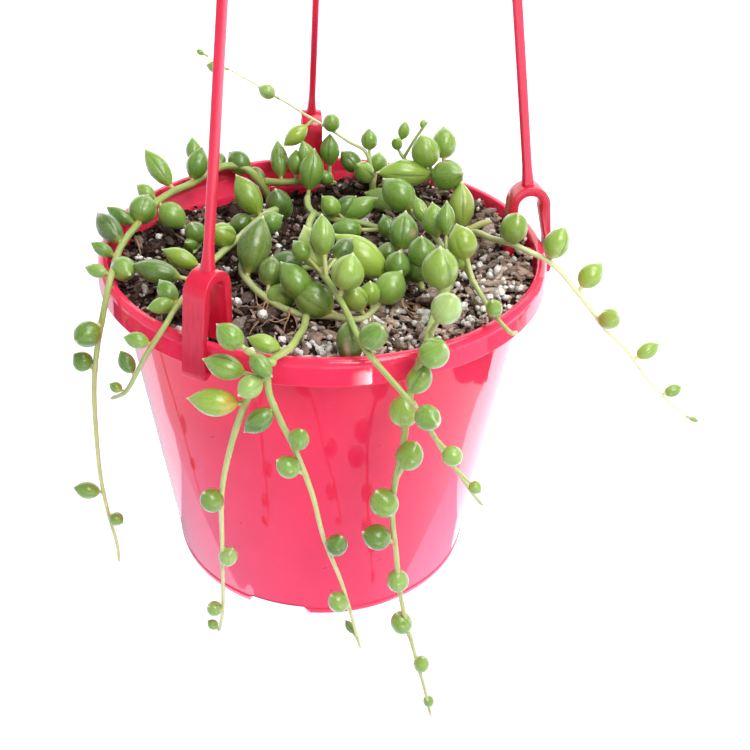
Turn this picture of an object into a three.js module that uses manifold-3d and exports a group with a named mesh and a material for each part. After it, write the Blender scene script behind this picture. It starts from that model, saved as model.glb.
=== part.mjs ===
// A potted string of tears in a red plastic hanging pot.
//
// The pot, its clip-on hanger, the potting mix and the leafy stems are separate solids. Every stem
// stands in a plain hole in the mix, creeps over it and, if it is long enough, hangs over the rim.
// Millimetres, +Z up. The origin is the point where the hook hangs, and -Y is the front.
import * as THREE from 'three';
import { mergeVertices } from 'three/addons/utils/BufferGeometryUtils.js';
import Module from 'manifold-3d';

const wasm = await Module();
wasm.setup();

// Driving dimensions. Heights are measured from the plane of the rim, and RIM_DROP lowers them all.
const RIM_RADIUS = 70;          // a 14 cm pot, measured over the rim band
const RIM_BAND = 7.7;           // height of the band below the rim
const POT_HEIGHT = 110.6;
const BASE_RADIUS = 50.9;
const WALL = 1.5;
const WALL_TOP_RADIUS = 64.2;   // outside of the wall just under the rim band
const FLOOR_LIFT = 3;           // the floor is raised on a foot ring
const FOOT_RING = 2.6;
const DRAIN_RADIUS = 3.6;
const DRAIN_CIRCLE = 40;
const NOTCH_LENGTH = 19;        // notches in the foot ring let water run out
const NOTCH_COUNT = 3;
const NOTCH_AZIMUTH = 254;
const GAP = 0.3;                // clearance between pieces that touch

const CLIP_CENTRE = 63.5;       // the clips straddle the rim at this radius
const CLIP_OUTER = 6.4;
const CLIP_INNER = 3.6;
const CLIP_WIDTH = 7;
const CLIP_SPRING = 12.9;       // height where the clip's arch begins
const ARM_RADIAL = 1.4;         // half thickness of an arm, towards the pot's axis
const ARM_TANGENTIAL = 1.05;
const ARM_FOOT = 18.2;          // height where an arm leaves its clip
const HUB_HEIGHT = 335;         // height of the hub's lower face above the rim
const HUB_RADIUS = 8;
const HUB_THICKNESS = 12;
const SOCKET_DEPTH = 8;
const HOOK_RADIUS = 11;
const HOOK_HALF = 2.2;          // half thickness of the hook
const HOOK_RISE = 20;           // from the hub's top to the centre of the hook's bend
const HOOK_CENTRE = HUB_HEIGHT + HUB_THICKNESS + HOOK_RISE;
const RIM_DROP = HOOK_CENTRE + HOOK_RADIUS - HOOK_HALF;

const SOIL_MIDDLE = -7.2;       // level of the mix in the middle of the pot
const SOIL_EDGE_DROP = 0.6;     // it falls this much towards the wall
const SOIL_TILT = 4.5;          // and this much more towards the back left
const SOIL_TILT_AZIMUTH = 125;
const SOIL_LUMPS = 0.7;

const STEM_SIDES = 5;
const LEAF_SIDES = 6;
const SMALL_LEAF = 9.6;         // leaves shorter than this have one side fewer
const STEP = 7.2;               // length of one straight stretch of a stem

// The clips sit unevenly round the rim. bow lets an arm belly outward and sway moves it sideways.
const ARMS = {
  left: { azimuth: 241, bow: 0, sway: 0 },
  right: { azimuth: 3, bow: 3, sway: 0 },
  back: { azimuth: 94.5, bow: 0, sway: -4 },
};

// Each leafy stem is a list of shoots, and each shoot has a path from its root end to its tip.
// thick holds the stem's radius at both ends of the path. A leaf is
// [distance along the path, heading, rise, length, width, stalk]: heading is its compass angle
// from +X towards +Y, and rise its angle above level. Lengths are millimetres, angles degrees.
const STEMS = {
  stem_left: [
    {
      path: [
        [-20, 55, -20], [-20, 55, -11], [-23, 52, -3], [-28, 52, 2], [-34, 51.5, 3], [-40, 45, 3.2],
        [-44.5, 36.5, 3], [-50, 29, 3.2], [-55, 19, 3.2], [-58.5, 4, 3], [-61, -11, 3.2],
        [-61, -25.5, 3.5], [-61, -35, 2.5], [-63, -37, -5.5], [-66, -35.5, -17], [-69, -33, -32],
        [-70.5, -32, -50], [-71, -32, -69], [-70, -32, -85], [-68.5, -32, -98], [-68.5, -32, -105.5],
      ],
      thick: [1.5, 0.5],
      leaves: [
        [21, 150, 30, 9.5, 7.5, 2.5], [35, 90, 15, 7, 4, 1], [47, 105, 55, 8.5, 5, 5.5],
        [51, 65, 50, 11, 7, 1.5], [59, 140, 40, 14, 6.5, 2], [68, 155, 25, 7, 4.5, 1.5],
        [69, 335, -35, 10, 8, 1.5], [86, 160, 20, 9.5, 4.5, 1], [86, 75, 30, 10, 8, 1],
        [100, 130, 20, 13.5, 7, 1], [109, 165, 25, 7.5, 4, 1], [112, 305, 0, 9, 7, 1],
        [120, 160, 5, 7.5, 4, 1], [137, 240, -5, 9, 7.5, 2], [156, 185, 45, 6.5, 6, 1.5],
        [205, 185, 15, 8.5, 5.5, 1], [214, 330, -15, 5, 4.5, 1],
      ],
    },
    {
      path: [
        [-21, 53.5, -3.5], [-16, 52, -3], [-9, 51.5, -2.5], [-1, 51.5, -2.5], [4, 52, -3],
      ],
      thick: [1.3, 0.9],
      leaves: [
        [0, 130, 15, 7.5, 4, 1], [6, 100, 50, 13, 6, 1.5], [11, 80, 82, 8.5, 5.5, 2.5],
        [18, 165, 72, 10, 5.5, 5], [23, 90, 85, 11, 6.5, 6], [26, 210, 35, 6, 4.5, 2],
      ],
    },
  ],
  stem_left_short: [
    {
      path: [
        [-14, 36, -18], [-14, 35, -9], [-16, 30, -3.5], [-19, 23, -1.5], [-22.5, 11, 0.5],
        [-26.5, -1, 1.5], [-30.5, -10, 1.5], [-34.5, -20.5, 1.5], [-37.5, -33.5, 2], [-40.5, -46.5, 3],
        [-42.5, -57.5, 3], [-46.5, -60, -2.5], [-51, -56, -12], [-56, -52, -22], [-61, -48, -27],
      ],
      thick: [1.4, 0.6],
      leaves: [
        [8, 235, 70, 12.5, 8.5, 1], [25, 215, -5, 8, 6, 6], [30, 140, 45, 14, 8, 1],
        [47, 15, 20, 7.2, 6.6, 6], [53, 220, 40, 9, 7, 1], [72, 165, 15, 11, 5.5, 2.5],
        [81, 170, 10, 14, 6.5, 4.5], [96, 205, 5, 7.5, 4.5, 1], [97, 135, 30, 8, 5.5, 1],
        [115, 170, 10, 7, 4.5, 1], [131, 140, 50, 7, 4.5, 1], [140, 165, 25, 4, 3, 1],
      ],
    },
    {
      path: [
        [-20, 20, -1], [-27, 22, -3.5], [-33, 18, -4.5], [-39, 9, -4.5], [-41, 0, -4.5],
      ],
      thick: [1.1, 0.7],
      leaves: [
        [29, 245, 70, 8, 6.5, 1], [30, 240, 30, 6, 4, 1],
      ],
    },
  ],
  stem_front_left: [
    {
      path: [
        [-25, -2, -17], [-25, -2, -9], [-25, -5, -3.6], [-24.5, -15, -3.6], [-16, -30, -4],
        [-7, -37, -4.5], [2, -38, -4.5], [10.5, -39.5, -4.5], [15, -33, -4.5], [19, -27, -3],
        [21, -22, -1],
      ],
      thick: [1.4, 1],
      leaves: [
        [28, 70, 50, 17, 9.5, 1.5], [37, 335, 4, 8.8, 6.9, 2.5], [41, 84, 36, 9.6, 6.6, 4],
        [61, 150, 40, 12.5, 8, 6.5], [65, 155, 25, 13, 9.5, 2.5], [73, 205, 65, 8.5, 6.5, 3.5],
        [77, 165, 85, 7, 5.5, 2.5], [80, 30, 50, 10.5, 8.5, 1.5], [91, 340, 80, 8.5, 7, 2],
        [92, 160, 30, 18.5, 10, 2.5],
      ],
    },
    {
      path: [
        [-5, -38, -4.5], [-5.5, -48.5, -2], [-7, -61.5, 2.5], [-9, -69.5, 4], [-14, -72.5, 1.5],
        [-14, -76, -4.5], [-11.5, -76, -13], [-8, -76, -22], [-3, -76, -38], [0.5, -76, -55],
        [6, -76, -73], [9, -76, -86], [12, -76, -100],
      ],
      thick: [1.3, 0.5],
      leaves: [
        [34, 170, 15, 9, 5, 1.5], [44, 165, 10, 11.5, 6.5, 6], [52, 185, -45, 10, 6, 1],
        [67, 315, 70, 7.5, 5.5, 1], [76, 200, 40, 8, 6, 2.5], [107, 325, 70, 7.5, 6, 2.5],
        [129, 195, 50, 7.5, 6, 2], [142, 140, 45, 5, 2.5, 2],
      ],
    },
    {
      path: [
        [-13.5, -74.5, 0], [-17, -76, -2], [-19.5, -76, -7], [-21.5, -75, -13], [-24.5, -73, -24],
        [-28, -71, -42], [-29, -70, -65], [-30, -69, -90], [-31.5, -68, -100.5],
      ],
      thick: [1.2, 0.5],
      leaves: [
        [2, 225, -10, 8, 6, 1], [12, 175, 0, 13.5, 7.5, 1.5], [53, 210, 55, 8, 6.5, 1],
        [76, 350, 65, 7, 5.5, 1], [96, 210, 45, 5.5, 4.5, 1], [107, 170, 45, 4, 3, 1],
      ],
    },
    {
      path: [
        [-12.5, -73, 2], [-16.5, -74.5, 4.5], [-21, -73, 7],
      ],
      thick: [1.1, 0.8],
      leaves: [
        [8, 160, 35, 8.5, 6.5, 2], [8, 320, -30, 8, 5, 1],
      ],
    },
  ],
  stem_middle: [
    {
      path: [
        [-6, 43, -18], [-6, 43, -10], [-6, 41, -4], [-5.5, 33, -3.5], [-3, 27, -3.5], [3, 24, -3.5],
        [10, 22, -3.5], [17, 18, -3.5], [22, 12.5, -4], [22.5, 6, -4.2],
      ],
      thick: [1.3, 0.9],
      leaves: [
        [12, 70, 68, 13.5, 8, 4], [36, 25, 40, 8.5, 6, 1.5], [37, 10, 25, 12.5, 6.5, 2],
        [40, 175, 45, 7.8, 5.9, 3], [54, 180, 0, 10.5, 7, 6.5], [65, 115, 40, 8, 6, 2.5],
      ],
    },
    {
      path: [
        [-3.5, 28, -3.5], [-5, 16, -1.5], [-5, 2, 1], [-4, -12, 3.5], [-2, -26, 5.5], [2, -40, 6.5],
        [5, -50, 6.5], [7, -58, 6.5], [9, -66, 5.8], [12, -73, 4.5], [16.5, -75.5, 0], [22, -80, -4.5],
        [27.5, -79, -13.5], [33, -74, -26], [39.5, -69, -39], [44.5, -66, -48.5], [47, -64, -53],
      ],
      thick: [1.3, 0.5],
      leaves: [
        [60, 120, 45, 12.5, 8, 1], [62, 48, 30, 7.6, 5.4, 6], [63, 145, 35, 6.5, 5, 6.5],
        [65, 100, 60, 11, 6.5, 6.5], [77, 42, 66, 10, 8.6, 2.5], [87, 275, -55, 12, 7, 1],
        [100, 320, 50, 9, 7, 1], [122, 295, 10, 8.5, 6.5, 3.5], [136, 300, -5, 6, 5.5, 5.5],
        [153, 325, -30, 4, 3.5, 6.5],
      ],
    },
  ],
  stem_centre: [
    {
      path: [
        [0, -7, -16], [0, -7, -8], [2, -7, -3.6], [12, -7, -3.8], [22, -9, -3.5], [28, -18, -2.5],
        [29, -28, -1],
      ],
      thick: [1.2, 0.9],
      leaves: [
        [28, 35, 45, 7, 5.5, 1], [35, 80, 50, 11.5, 8.5, 5.5], [41, 210, -6, 9.4, 6.8, 1.5],
        [43, 270, 50, 10, 7.5, 1], [48, 10, 90, 9.5, 8, 5],
      ],
    },
    {
      path: [
        [1, -7, -5], [-6, -10, -4], [-13, -15, -4],
      ],
      thick: [1, 0.8],
      leaves: [
        [8, 205, 25, 10, 8, 1],
      ],
    },
  ],
  stem_right_short: [
    {
      path: [
        [28, 40, -17], [28, 39.5, -8], [28, 37, -3], [28.5, 29, -1.5], [29, 20, 1], [31.5, 7.5, 3.5],
        [34.5, -5, 4.5], [37.5, -17, 4.5], [41, -22, 4], [43.5, -30.5, 3], [45, -41, 3.5],
        [47, -51.5, 4], [50.5, -58.5, 3], [53, -54, 0.5],
      ],
      thick: [1.3, 0.6],
      leaves: [
        [10, 170, 20, 11, 7.5, 3.5], [37, 140, 35, 13, 9.5, 2.5], [48, 115, 40, 8.5, 4.5, 1],
        [60, 110, 55, 10, 7, 1], [68, 90, 60, 10, 5, 4.5], [83, 130, 40, 8.5, 5.5, 2.5],
        [85, 120, 55, 10, 8, 6.5], [107, 245, 60, 6.5, 4.5, 1],
      ],
    },
  ],
  stem_front_right: [
    {
      path: [
        [39, -14, -17], [39, -14, -8], [38.5, -18, -2], [35.5, -33, 1.5], [31, -48, 3], [28.5, -59, 4],
        [27, -67, 4.2], [25.5, -70, 1.5], [23.5, -71, -5.5], [22.5, -71, -15], [22, -71, -26],
        [20.5, -71, -37], [20, -71, -50], [22, -71, -67], [24, -70, -84], [28.5, -69, -105],
        [34, -68, -128], [37, -67, -142.5],
      ],
      thick: [1.4, 0.5],
      leaves: [
        [40, 156, 84, 12, 9.6, 4], [63, 320, 65, 10, 8, 6.5], [72, 315, 45, 10, 8, 1],
        [83, 10, 65, 9.5, 6.5, 1], [95, 215, 85, 10, 8, 2.5], [112, 335, 70, 10, 7.5, 6],
        [124, 205, 60, 10, 8, 1], [135, 195, 30, 9.5, 7.5, 2], [157, 180, 80, 8.5, 6.5, 1.5],
        [178, 175, 65, 8.5, 6.5, 3.5], [194, 295, 80, 6.5, 5, 1], [214, 130, 80, 4.5, 3.5, 1],
      ],
    },
  ],
  stem_right: [
    {
      path: [
        [46, 22, -16], [46, 20, -8], [49, 12, -2], [52.5, 0, 2], [57.5, -7.5, 4], [61.5, -13, 4.5],
        [67, -17, 3.5], [71, -17.5, 0.5], [76, -18, -5], [81.5, -18.5, -11.5], [88, -19, -19.5],
        [95.5, -20, -26.5], [103.5, -20.5, -36.5], [111.5, -21.5, -44.5], [120, -22.5, -51.5],
      ],
      thick: [1.3, 0.3],
      leaves: [
        [8, 95, 65, 14.6, 8, 3.2], [40, 305, 75, 10, 8, 1], [56, 30, 70, 10.5, 7.5, 1],
        [70, 40, 35, 10, 7, 2], [83, 300, 40, 8.5, 6.5, 1], [101, 25, 20, 8.5, 5, 1.5],
        [118, 20, 10, 6.5, 4, 1], [130, 0, -25, 4, 1.6, 1],
      ],
    },
    {
      path: [
        [47, 17, -4], [51, 17, -1.5], [55, 18, -1],
      ],
      thick: [1.2, 1.2],
      leaves: [],
    },
  ],
  stem_back_right: [
    {
      path: [
        [30, 50, -18], [30, 49, -9], [30, 49, -2], [32, 42, 3], [35, 37, 6.5], [38, 35.5, 8.5],
        [42, 40, 9.5],
      ],
      thick: [1.4, 1],
      leaves: [
        [33, 315, 20, 12, 9.5, 2], [34, 165, 70, 11, 9, 3], [35, 190, 5, 18, 8.5, 1],
        [39, 90, 55, 10.5, 8, 3.5],
      ],
    },
    {
      path: [
        [34, 39.5, 5], [29.5, 42, 8], [26.5, 43, 11], [25, 44, 13],
      ],
      thick: [0.8, 0.6],
      leaves: [
        [13, 258, 42, 7.4, 3.6, 2.5], [13, 354, 78, 6.2, 3.8, 4],
      ],
    },
    {
      path: [
        [27, 43, 11], [30.2, 42.5, 17.5], [34.4, 42, 24.3],
      ],
      thick: [0.6, 0.4],
      leaves: [
        [11, 50, 65, 2.8, 2.2, 1],
      ],
    },
  ],
  stem_back: [
    {
      path: [
        [17, 50, -18], [17, 50, -9], [16.5, 50, 0], [14, 50.5, 9.5], [8, 51, 13], [3, 52, 16],
        [-1, 53, 18], [-8, 55, 21.5], [-13, 57, 24], [-18, 59, 26], [-24, 61, 29], [-29, 63, 31],
        [-34.5, 65, 33.5], [-40.5, 67, 36.5],
      ],
      thick: [1.3, 0.3],
      leaves: [
        [13, 70, 60, 7, 6.5, 6.5], [16, 160, 40, 8.5, 6.5, 6.5], [17, 230, 45, 11, 6.5, 1],
        [24, 95, 70, 7, 5.5, 4], [41, 245, 65, 6.5, 5.5, 1], [49, 205, -35, 10, 5.5, 3],
        [63, 165, 25, 6.5, 5, 1.5], [83, 170, 5, 6, 4, 2], [93, 170, 25, 3, 2, 1.5],
      ],
    },
  ],
};

// Colours read off the photograph.
const RED_POT = new THREE.MeshStandardMaterial({ color: 0xe0103c, roughness: 0.28, metalness: 0 });
const RED_HANGER = new THREE.MeshStandardMaterial({ color: 0xd8183c, roughness: 0.32, metalness: 0 });
const POTTING_MIX = new THREE.MeshStandardMaterial({ color: 0x3a2a22, roughness: 0.95, metalness: 0 });
const LEAF_GREEN = new THREE.MeshStandardMaterial({ color: 0x5f9a3a, roughness: 0.35, metalness: 0 });

const radians = THREE.MathUtils.degToRad;

// Turns a closed geometry into a solid that can be joined and cut.
function solid(geometry) {
  const bare = geometry.index ? geometry.toNonIndexed() : geometry.clone();
  bare.deleteAttribute('normal');
  bare.deleteAttribute('uv');
  const welded = mergeVertices(bare, 1e-4);
  const places = welded.attributes.position.array;
  const corners = Uint32Array.from(dropSlivers(welded.index.array));
  const made = new wasm.Manifold(new wasm.Mesh({
    numProp: 3, vertProperties: Float32Array.from(places), triVerts: corners,
  }));
  return made;
}

// Leaves out triangles whose corners were welded together.
function dropSlivers(index) {
  const kept = [];
  for (let i = 0; i < index.length; i += 3) {
    const [a, b, c] = [index[i], index[i + 1], index[i + 2]];
    if (a !== b && b !== c && c !== a) kept.push(a, b, c);
  }
  return kept;
}

// Joins a list of solids into one.
function fuse(solids) {
  return solids.reduce((whole, next) => whole.add(next));
}

// Turns a solid back into a geometry.
function geometryOf(shape) {
  const mesh = shape.getMesh();
  const geometry = new THREE.BufferGeometry();
  const places = new Float32Array(mesh.numVert * 3);
  for (let i = 0; i < mesh.numVert; i += 1) {
    for (let k = 0; k < 3; k += 1) places[3 * i + k] = mesh.vertProperties[i * mesh.numProp + k];
  }
  geometry.setAttribute('position', new THREE.BufferAttribute(places, 3));
  geometry.setIndex(new THREE.BufferAttribute(Uint32Array.from(mesh.triVerts), 1));
  geometry.computeVertexNormals();
  return geometry;
}

// A closed shape of revolution about Z from [radius, height] pairs that start and end on the axis.
function turned(profile, segments) {
  const points = profile.map(([radius, height]) => new THREE.Vector2(radius, height));
  return new THREE.LatheGeometry(points, segments).rotateX(Math.PI / 2);
}

// A rod with round ends cut square that follows a curve and tapers from one radius to the other.
// flat squeezes it along its side direction, and side fixes that direction for every ring.
function rod(curve, startRadius, endRadius, sides, steps, flat = 1, side = null) {
  const geometry = new THREE.CylinderGeometry(endRadius, startRadius, 1, sides, steps, false);
  const frames = curve.computeFrenetFrames(steps, false);
  const place = geometry.attributes.position;
  for (let i = 0; i < place.count; i += 1) {
    const step = Math.round((place.getY(i) + 0.5) * steps);
    const centre = curve.getPointAt(step / steps);
    const across = side ? side.clone() : frames.normals[step].clone();
    const outward = side
      ? new THREE.Vector3().crossVectors(frames.tangents[step], side).normalize()
      : frames.binormals[step].clone();
    const point = centre
      .add(across.multiplyScalar(place.getZ(i) * flat))
      .add(outward.multiplyScalar(place.getX(i)));
    place.setXYZ(i, point.x, point.y, point.z);
  }
  return geometry;
}

// The pot: a tapered cup with a rim band, on a notched foot ring, with drain holes in its floor.
function makePot() {
  const ledge = -RIM_BAND;
  const floorUnder = -POT_HEIGHT + FLOOR_LIFT;
  const footInner = BASE_RADIUS - 1 - FOOT_RING;
  const profile = [
    [0, floorUnder], [footInner - 0.3, floorUnder], [footInner, -POT_HEIGHT],
    [BASE_RADIUS - 1, -POT_HEIGHT], [BASE_RADIUS + 0.2, -POT_HEIGHT + 1.6],
    [WALL_TOP_RADIUS, ledge - 0.2], [RIM_RADIUS - 0.2, ledge], [RIM_RADIUS - 0.5, -1.2],
    [RIM_RADIUS - 1.5, 0], [RIM_RADIUS - 3.5, 0], [RIM_RADIUS - 4, -4.4],
    [WALL_TOP_RADIUS - WALL, ledge - WALL], [BASE_RADIUS - 1.6, floorUnder + WALL],
    [0, floorUnder + WALL],
  ];
  let pot = solid(turned(profile, 44));
  for (let i = 0; i < NOTCH_COUNT; i += 1) {
    const azimuth = radians(NOTCH_AZIMUTH + i * 360 / NOTCH_COUNT);
    const depth = FLOOR_LIFT + 1;
    const notch = new THREE.BoxGeometry(12, NOTCH_LENGTH, depth)
      .translate(BASE_RADIUS, 0, floorUnder - GAP - depth / 2)
      .rotateZ(azimuth);
    pot = pot.subtract(solid(notch));
  }
  for (let i = 0; i < 2 * NOTCH_COUNT; i += 1) {
    const azimuth = radians(NOTCH_AZIMUTH + i * 180 / NOTCH_COUNT);
    const drain = new THREE.CylinderGeometry(DRAIN_RADIUS, DRAIN_RADIUS, 6, 12)
      .rotateX(Math.PI / 2)
      .translate(DRAIN_CIRCLE, 0, floorUnder)
      .rotateZ(azimuth);
    pot = pot.subtract(solid(drain));
  }
  return pot;
}

// One clip seen from the side, as [radius, height]: an arch over the rim whose outer leg runs down
// the rim band and catches under it.
function clipShape() {
  const outerLeg = RIM_RADIUS + 0.45;
  const shape = new THREE.Shape();
  shape.moveTo(CLIP_CENTRE - CLIP_OUTER + 0.2, -4);
  shape.lineTo(CLIP_CENTRE - CLIP_OUTER, CLIP_SPRING);
  shape.absarc(CLIP_CENTRE, CLIP_SPRING, CLIP_OUTER, Math.PI, 0, true);
  shape.lineTo(RIM_RADIUS + 1.2, 3);
  shape.lineTo(RIM_RADIUS + 2.6, -RIM_BAND);
  shape.lineTo(RIM_RADIUS + 2.3, -RIM_BAND - 2);
  shape.lineTo(RIM_RADIUS + 0.2, -RIM_BAND - 2.4);
  shape.lineTo(RIM_RADIUS - 1.6, -RIM_BAND - 1.4);
  shape.lineTo(RIM_RADIUS - 1.6, -RIM_BAND - GAP);
  shape.lineTo(outerLeg, -RIM_BAND - GAP);
  shape.lineTo(outerLeg, -RIM_BAND + 0.7);
  shape.lineTo(RIM_RADIUS - 0.2, 0.3);
  shape.lineTo(CLIP_CENTRE + CLIP_INNER, CLIP_SPRING - 2);
  shape.lineTo(CLIP_CENTRE + CLIP_INNER, CLIP_SPRING);
  shape.absarc(CLIP_CENTRE, CLIP_SPRING, CLIP_INNER, 0, Math.PI, false);
  shape.lineTo(CLIP_CENTRE - CLIP_INNER + 0.2, -4);
  shape.closePath();
  return shape;
}

// The line of an arm from the top of its clip to the hub, with its belly and its sway.
function armCurve({ azimuth, bow, sway }, from, to) {
  const outward = new THREE.Vector3(Math.cos(radians(azimuth)), Math.sin(radians(azimuth)), 0);
  const sideways = new THREE.Vector3(-outward.y, outward.x, 0);
  const foot = outward.clone().multiplyScalar(CLIP_CENTRE - 0.6).setZ(ARM_FOOT);
  const top = outward.clone().multiplyScalar(HUB_RADIUS - 4).setZ(HUB_HEIGHT + SOCKET_DEPTH);
  const middle = foot.clone().lerp(top, 0.5)
    .addScaledVector(outward, bow)
    .addScaledVector(sideways, sway);
  const whole = new THREE.QuadraticBezierCurve3(foot, middle, top);
  const points = [];
  const count = 16;
  for (let i = 0; i <= count; i += 1) points.push(whole.getPoint(from + (to - from) * i / count));
  return { curve: new THREE.CatmullRomCurve3(points), sideways };
}

// One arm of the hanger with its clip.
function makeArm(arm) {
  const clip = new THREE.ExtrudeGeometry(clipShape(), {
    depth: CLIP_WIDTH, bevelEnabled: false, curveSegments: 7, steps: 1,
  });
  clip.rotateX(Math.PI / 2).translate(0, CLIP_WIDTH / 2, 0).rotateZ(radians(arm.azimuth));
  const { curve, sideways } = armCurve(arm, 0, 1);
  const flat = ARM_TANGENTIAL / ARM_RADIAL;
  const bar = rod(curve, ARM_RADIAL, ARM_RADIAL, 8, 10, flat, sideways);
  const neck = armCurve(arm, 0, 0.03);
  const flare = rod(neck.curve, 3, ARM_RADIAL, 8, 2, 0.9, sideways);
  return fuse([solid(clip), solid(bar), solid(flare)]);
}

// The hub that takes the three arms, and the hook above it.
function makeHook() {
  const top = HUB_HEIGHT + HUB_THICKNESS;
  const hub = turned([
    [0, HUB_HEIGHT], [HUB_RADIUS - 1, HUB_HEIGHT], [HUB_RADIUS, HUB_HEIGHT + 1],
    [HUB_RADIUS, top - 3], [HUB_RADIUS - 2, top], [0, top],
  ], 24);
  const bend = [];
  const open = radians(-50);
  const close = radians(205);
  const turns = 10;
  for (let i = 0; i <= turns; i += 1) {
    const angle = close + (open - close) * i / turns;
    bend.push(new THREE.Vector3(HOOK_RADIUS * Math.cos(angle), 0, HOOK_CENTRE + HOOK_RADIUS * Math.sin(angle)));
  }
  const shank = [new THREE.Vector3(0, 0, top - 3), new THREE.Vector3(0, 0, top + 2),
    new THREE.Vector3(-HOOK_RADIUS * 0.55, 0, top + 8)];
  const line = new THREE.CatmullRomCurve3([...shank, ...bend]);
  const hook = rod(line, HOOK_HALF, HOOK_HALF * 0.85, 8, 16, 0.9, new THREE.Vector3(0, 1, 0));
  let whole = fuse([solid(hub), solid(hook)]);
  for (const arm of Object.values(ARMS)) {
    const { curve, sideways } = armCurve(arm, 0.9, 1.002);
    const flat = (ARM_TANGENTIAL + GAP) / (ARM_RADIAL + GAP);
    const socket = rod(curve, ARM_RADIAL + GAP, ARM_RADIAL + GAP, 8, 2, flat, sideways);
    whole = whole.subtract(solid(socket));
  }
  return whole;
}

// Level of the potting mix at a place, with its slope and its crumbs.
function soilLevel(x, y) {
  const reach = Math.hypot(x, y) / WALL_TOP_RADIUS;
  const tilt = Math.cos(Math.atan2(y, x) - radians(SOIL_TILT_AZIMUTH)) * reach;
  const lumps = Math.sin(x * 0.61 + 1.3) * Math.cos(y * 0.53 - 0.4) + 0.6 * Math.sin(x * 0.23 - y * 0.31);
  return SOIL_MIDDLE - SOIL_EDGE_DROP * reach * reach - SOIL_TILT * Math.max(0, tilt) + SOIL_LUMPS * lumps;
}

// The potting mix: it fills the pot and has a plain hole for the root end of every stem.
function makeSoil() {
  const floor = -POT_HEIGHT + FLOOR_LIFT + WALL + GAP;
  const wallAt = (height) => {
    const share = (height + RIM_BAND + WALL) / (POT_HEIGHT - RIM_BAND - FLOOR_LIFT - 2 * WALL);
    return WALL_TOP_RADIUS - WALL + share * (WALL_TOP_RADIUS - WALL - BASE_RADIUS + 1.6) - GAP - 0.2;
  };
  const edge = -SOIL_EDGE_DROP + SOIL_MIDDLE - SOIL_TILT;
  const rings = [53, 42, 31, 20, 9];
  const profile = [
    [0, floor], [wallAt(floor + 3) - 2, floor], [wallAt(floor + 3), floor + 3],
    [wallAt(edge - 3), edge - 3], [wallAt(edge - 3) - 0.1, 0],
    ...rings.map((radius) => [radius, 0]), [0, 0],
  ];
  const body = turned(profile, 36);
  const place = body.attributes.position;
  for (let i = 0; i < place.count; i += 1) {
    if (place.getZ(i) > -1e-6) place.setZ(i, soilLevel(place.getX(i), place.getY(i)));
  }
  let soil = solid(body);
  for (const shoots of Object.values(STEMS)) {
    const [root, above] = shoots[0].path.map((point) => new THREE.Vector3(...point));
    const bottom = root.z - GAP;
    const top = 2;
    const lean = above.clone().sub(root).divideScalar(above.z - root.z);
    const hole = rod(
      new THREE.LineCurve3(root.clone().addScaledVector(lean, -GAP), root.clone().addScaledVector(lean, top - bottom)),
      shoots[0].thick[0] + 1.3 * GAP, shoots[0].thick[0] + 6 * GAP, 8, 1,
    );
    soil = soil.subtract(solid(hole));
  }
  return soil;
}

// A plump leaf on a short stalk, drawn along +Z from the middle of the stem it grows on.
function leafShape(length, width, stalk) {
  const half = width / 2;
  const neck = Math.min(0.75, half * 0.5);
  const profile = [
    [0, -0.5], [neck, stalk * 0.7], [half * 0.8, stalk + length * 0.16],
    [half, stalk + length * 0.42], [half * 0.76, stalk + length * 0.7], [0, stalk + length],
  ];
  return turned(profile, length < SMALL_LEAF ? LEAF_SIDES - 1 : LEAF_SIDES);
}

// A stem with its leaves, joined in one solid.
function makeStem(shoots) {
  const pieces = [];
  for (const { path, thick, leaves } of shoots) {
    const curve = new THREE.CatmullRomCurve3(path.map((point) => new THREE.Vector3(...point)));
    const length = curve.getLength();
    pieces.push(solid(rod(curve, thick[0], thick[1], STEM_SIDES, Math.ceil(length / STEP))));
    for (const [along, heading, rise, leafLength, width, stalk] of leaves) {
      const root = curve.getPointAt(Math.min(1, along / length));
      const leaf = leafShape(leafLength, width, stalk)
        .rotateY(radians(90 - rise))
        .rotateZ(radians(heading))
        .translate(root.x, root.y, root.z);
      pieces.push(solid(leaf));
    }
  }
  return fuse(pieces);
}

// Puts one finished solid into the scene as a named mesh.
function piece(name, shape, material) {
  const mesh = new THREE.Mesh(geometryOf(shape), material);
  mesh.name = name;
  return mesh;
}

const plant = new THREE.Group();
plant.position.z = -RIM_DROP;
plant.add(piece('pot', makePot(), RED_POT));
plant.add(piece('soil', makeSoil(), POTTING_MIX));
plant.add(piece('hanger_hook', makeHook(), RED_HANGER));
for (const [side, arm] of Object.entries(ARMS)) {
  plant.add(piece(`hanger_arm_${side}`, makeArm(arm), RED_HANGER));
}
for (const [name, shoots] of Object.entries(STEMS)) {
  plant.add(piece(name, makeStem(shoots), LEAF_GREEN));
}

const model = new THREE.Group();
model.add(plant);

export default model;
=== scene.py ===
import math

import bmesh
import bpy
import numpy as np
from mathutils import Matrix, Vector


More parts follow.
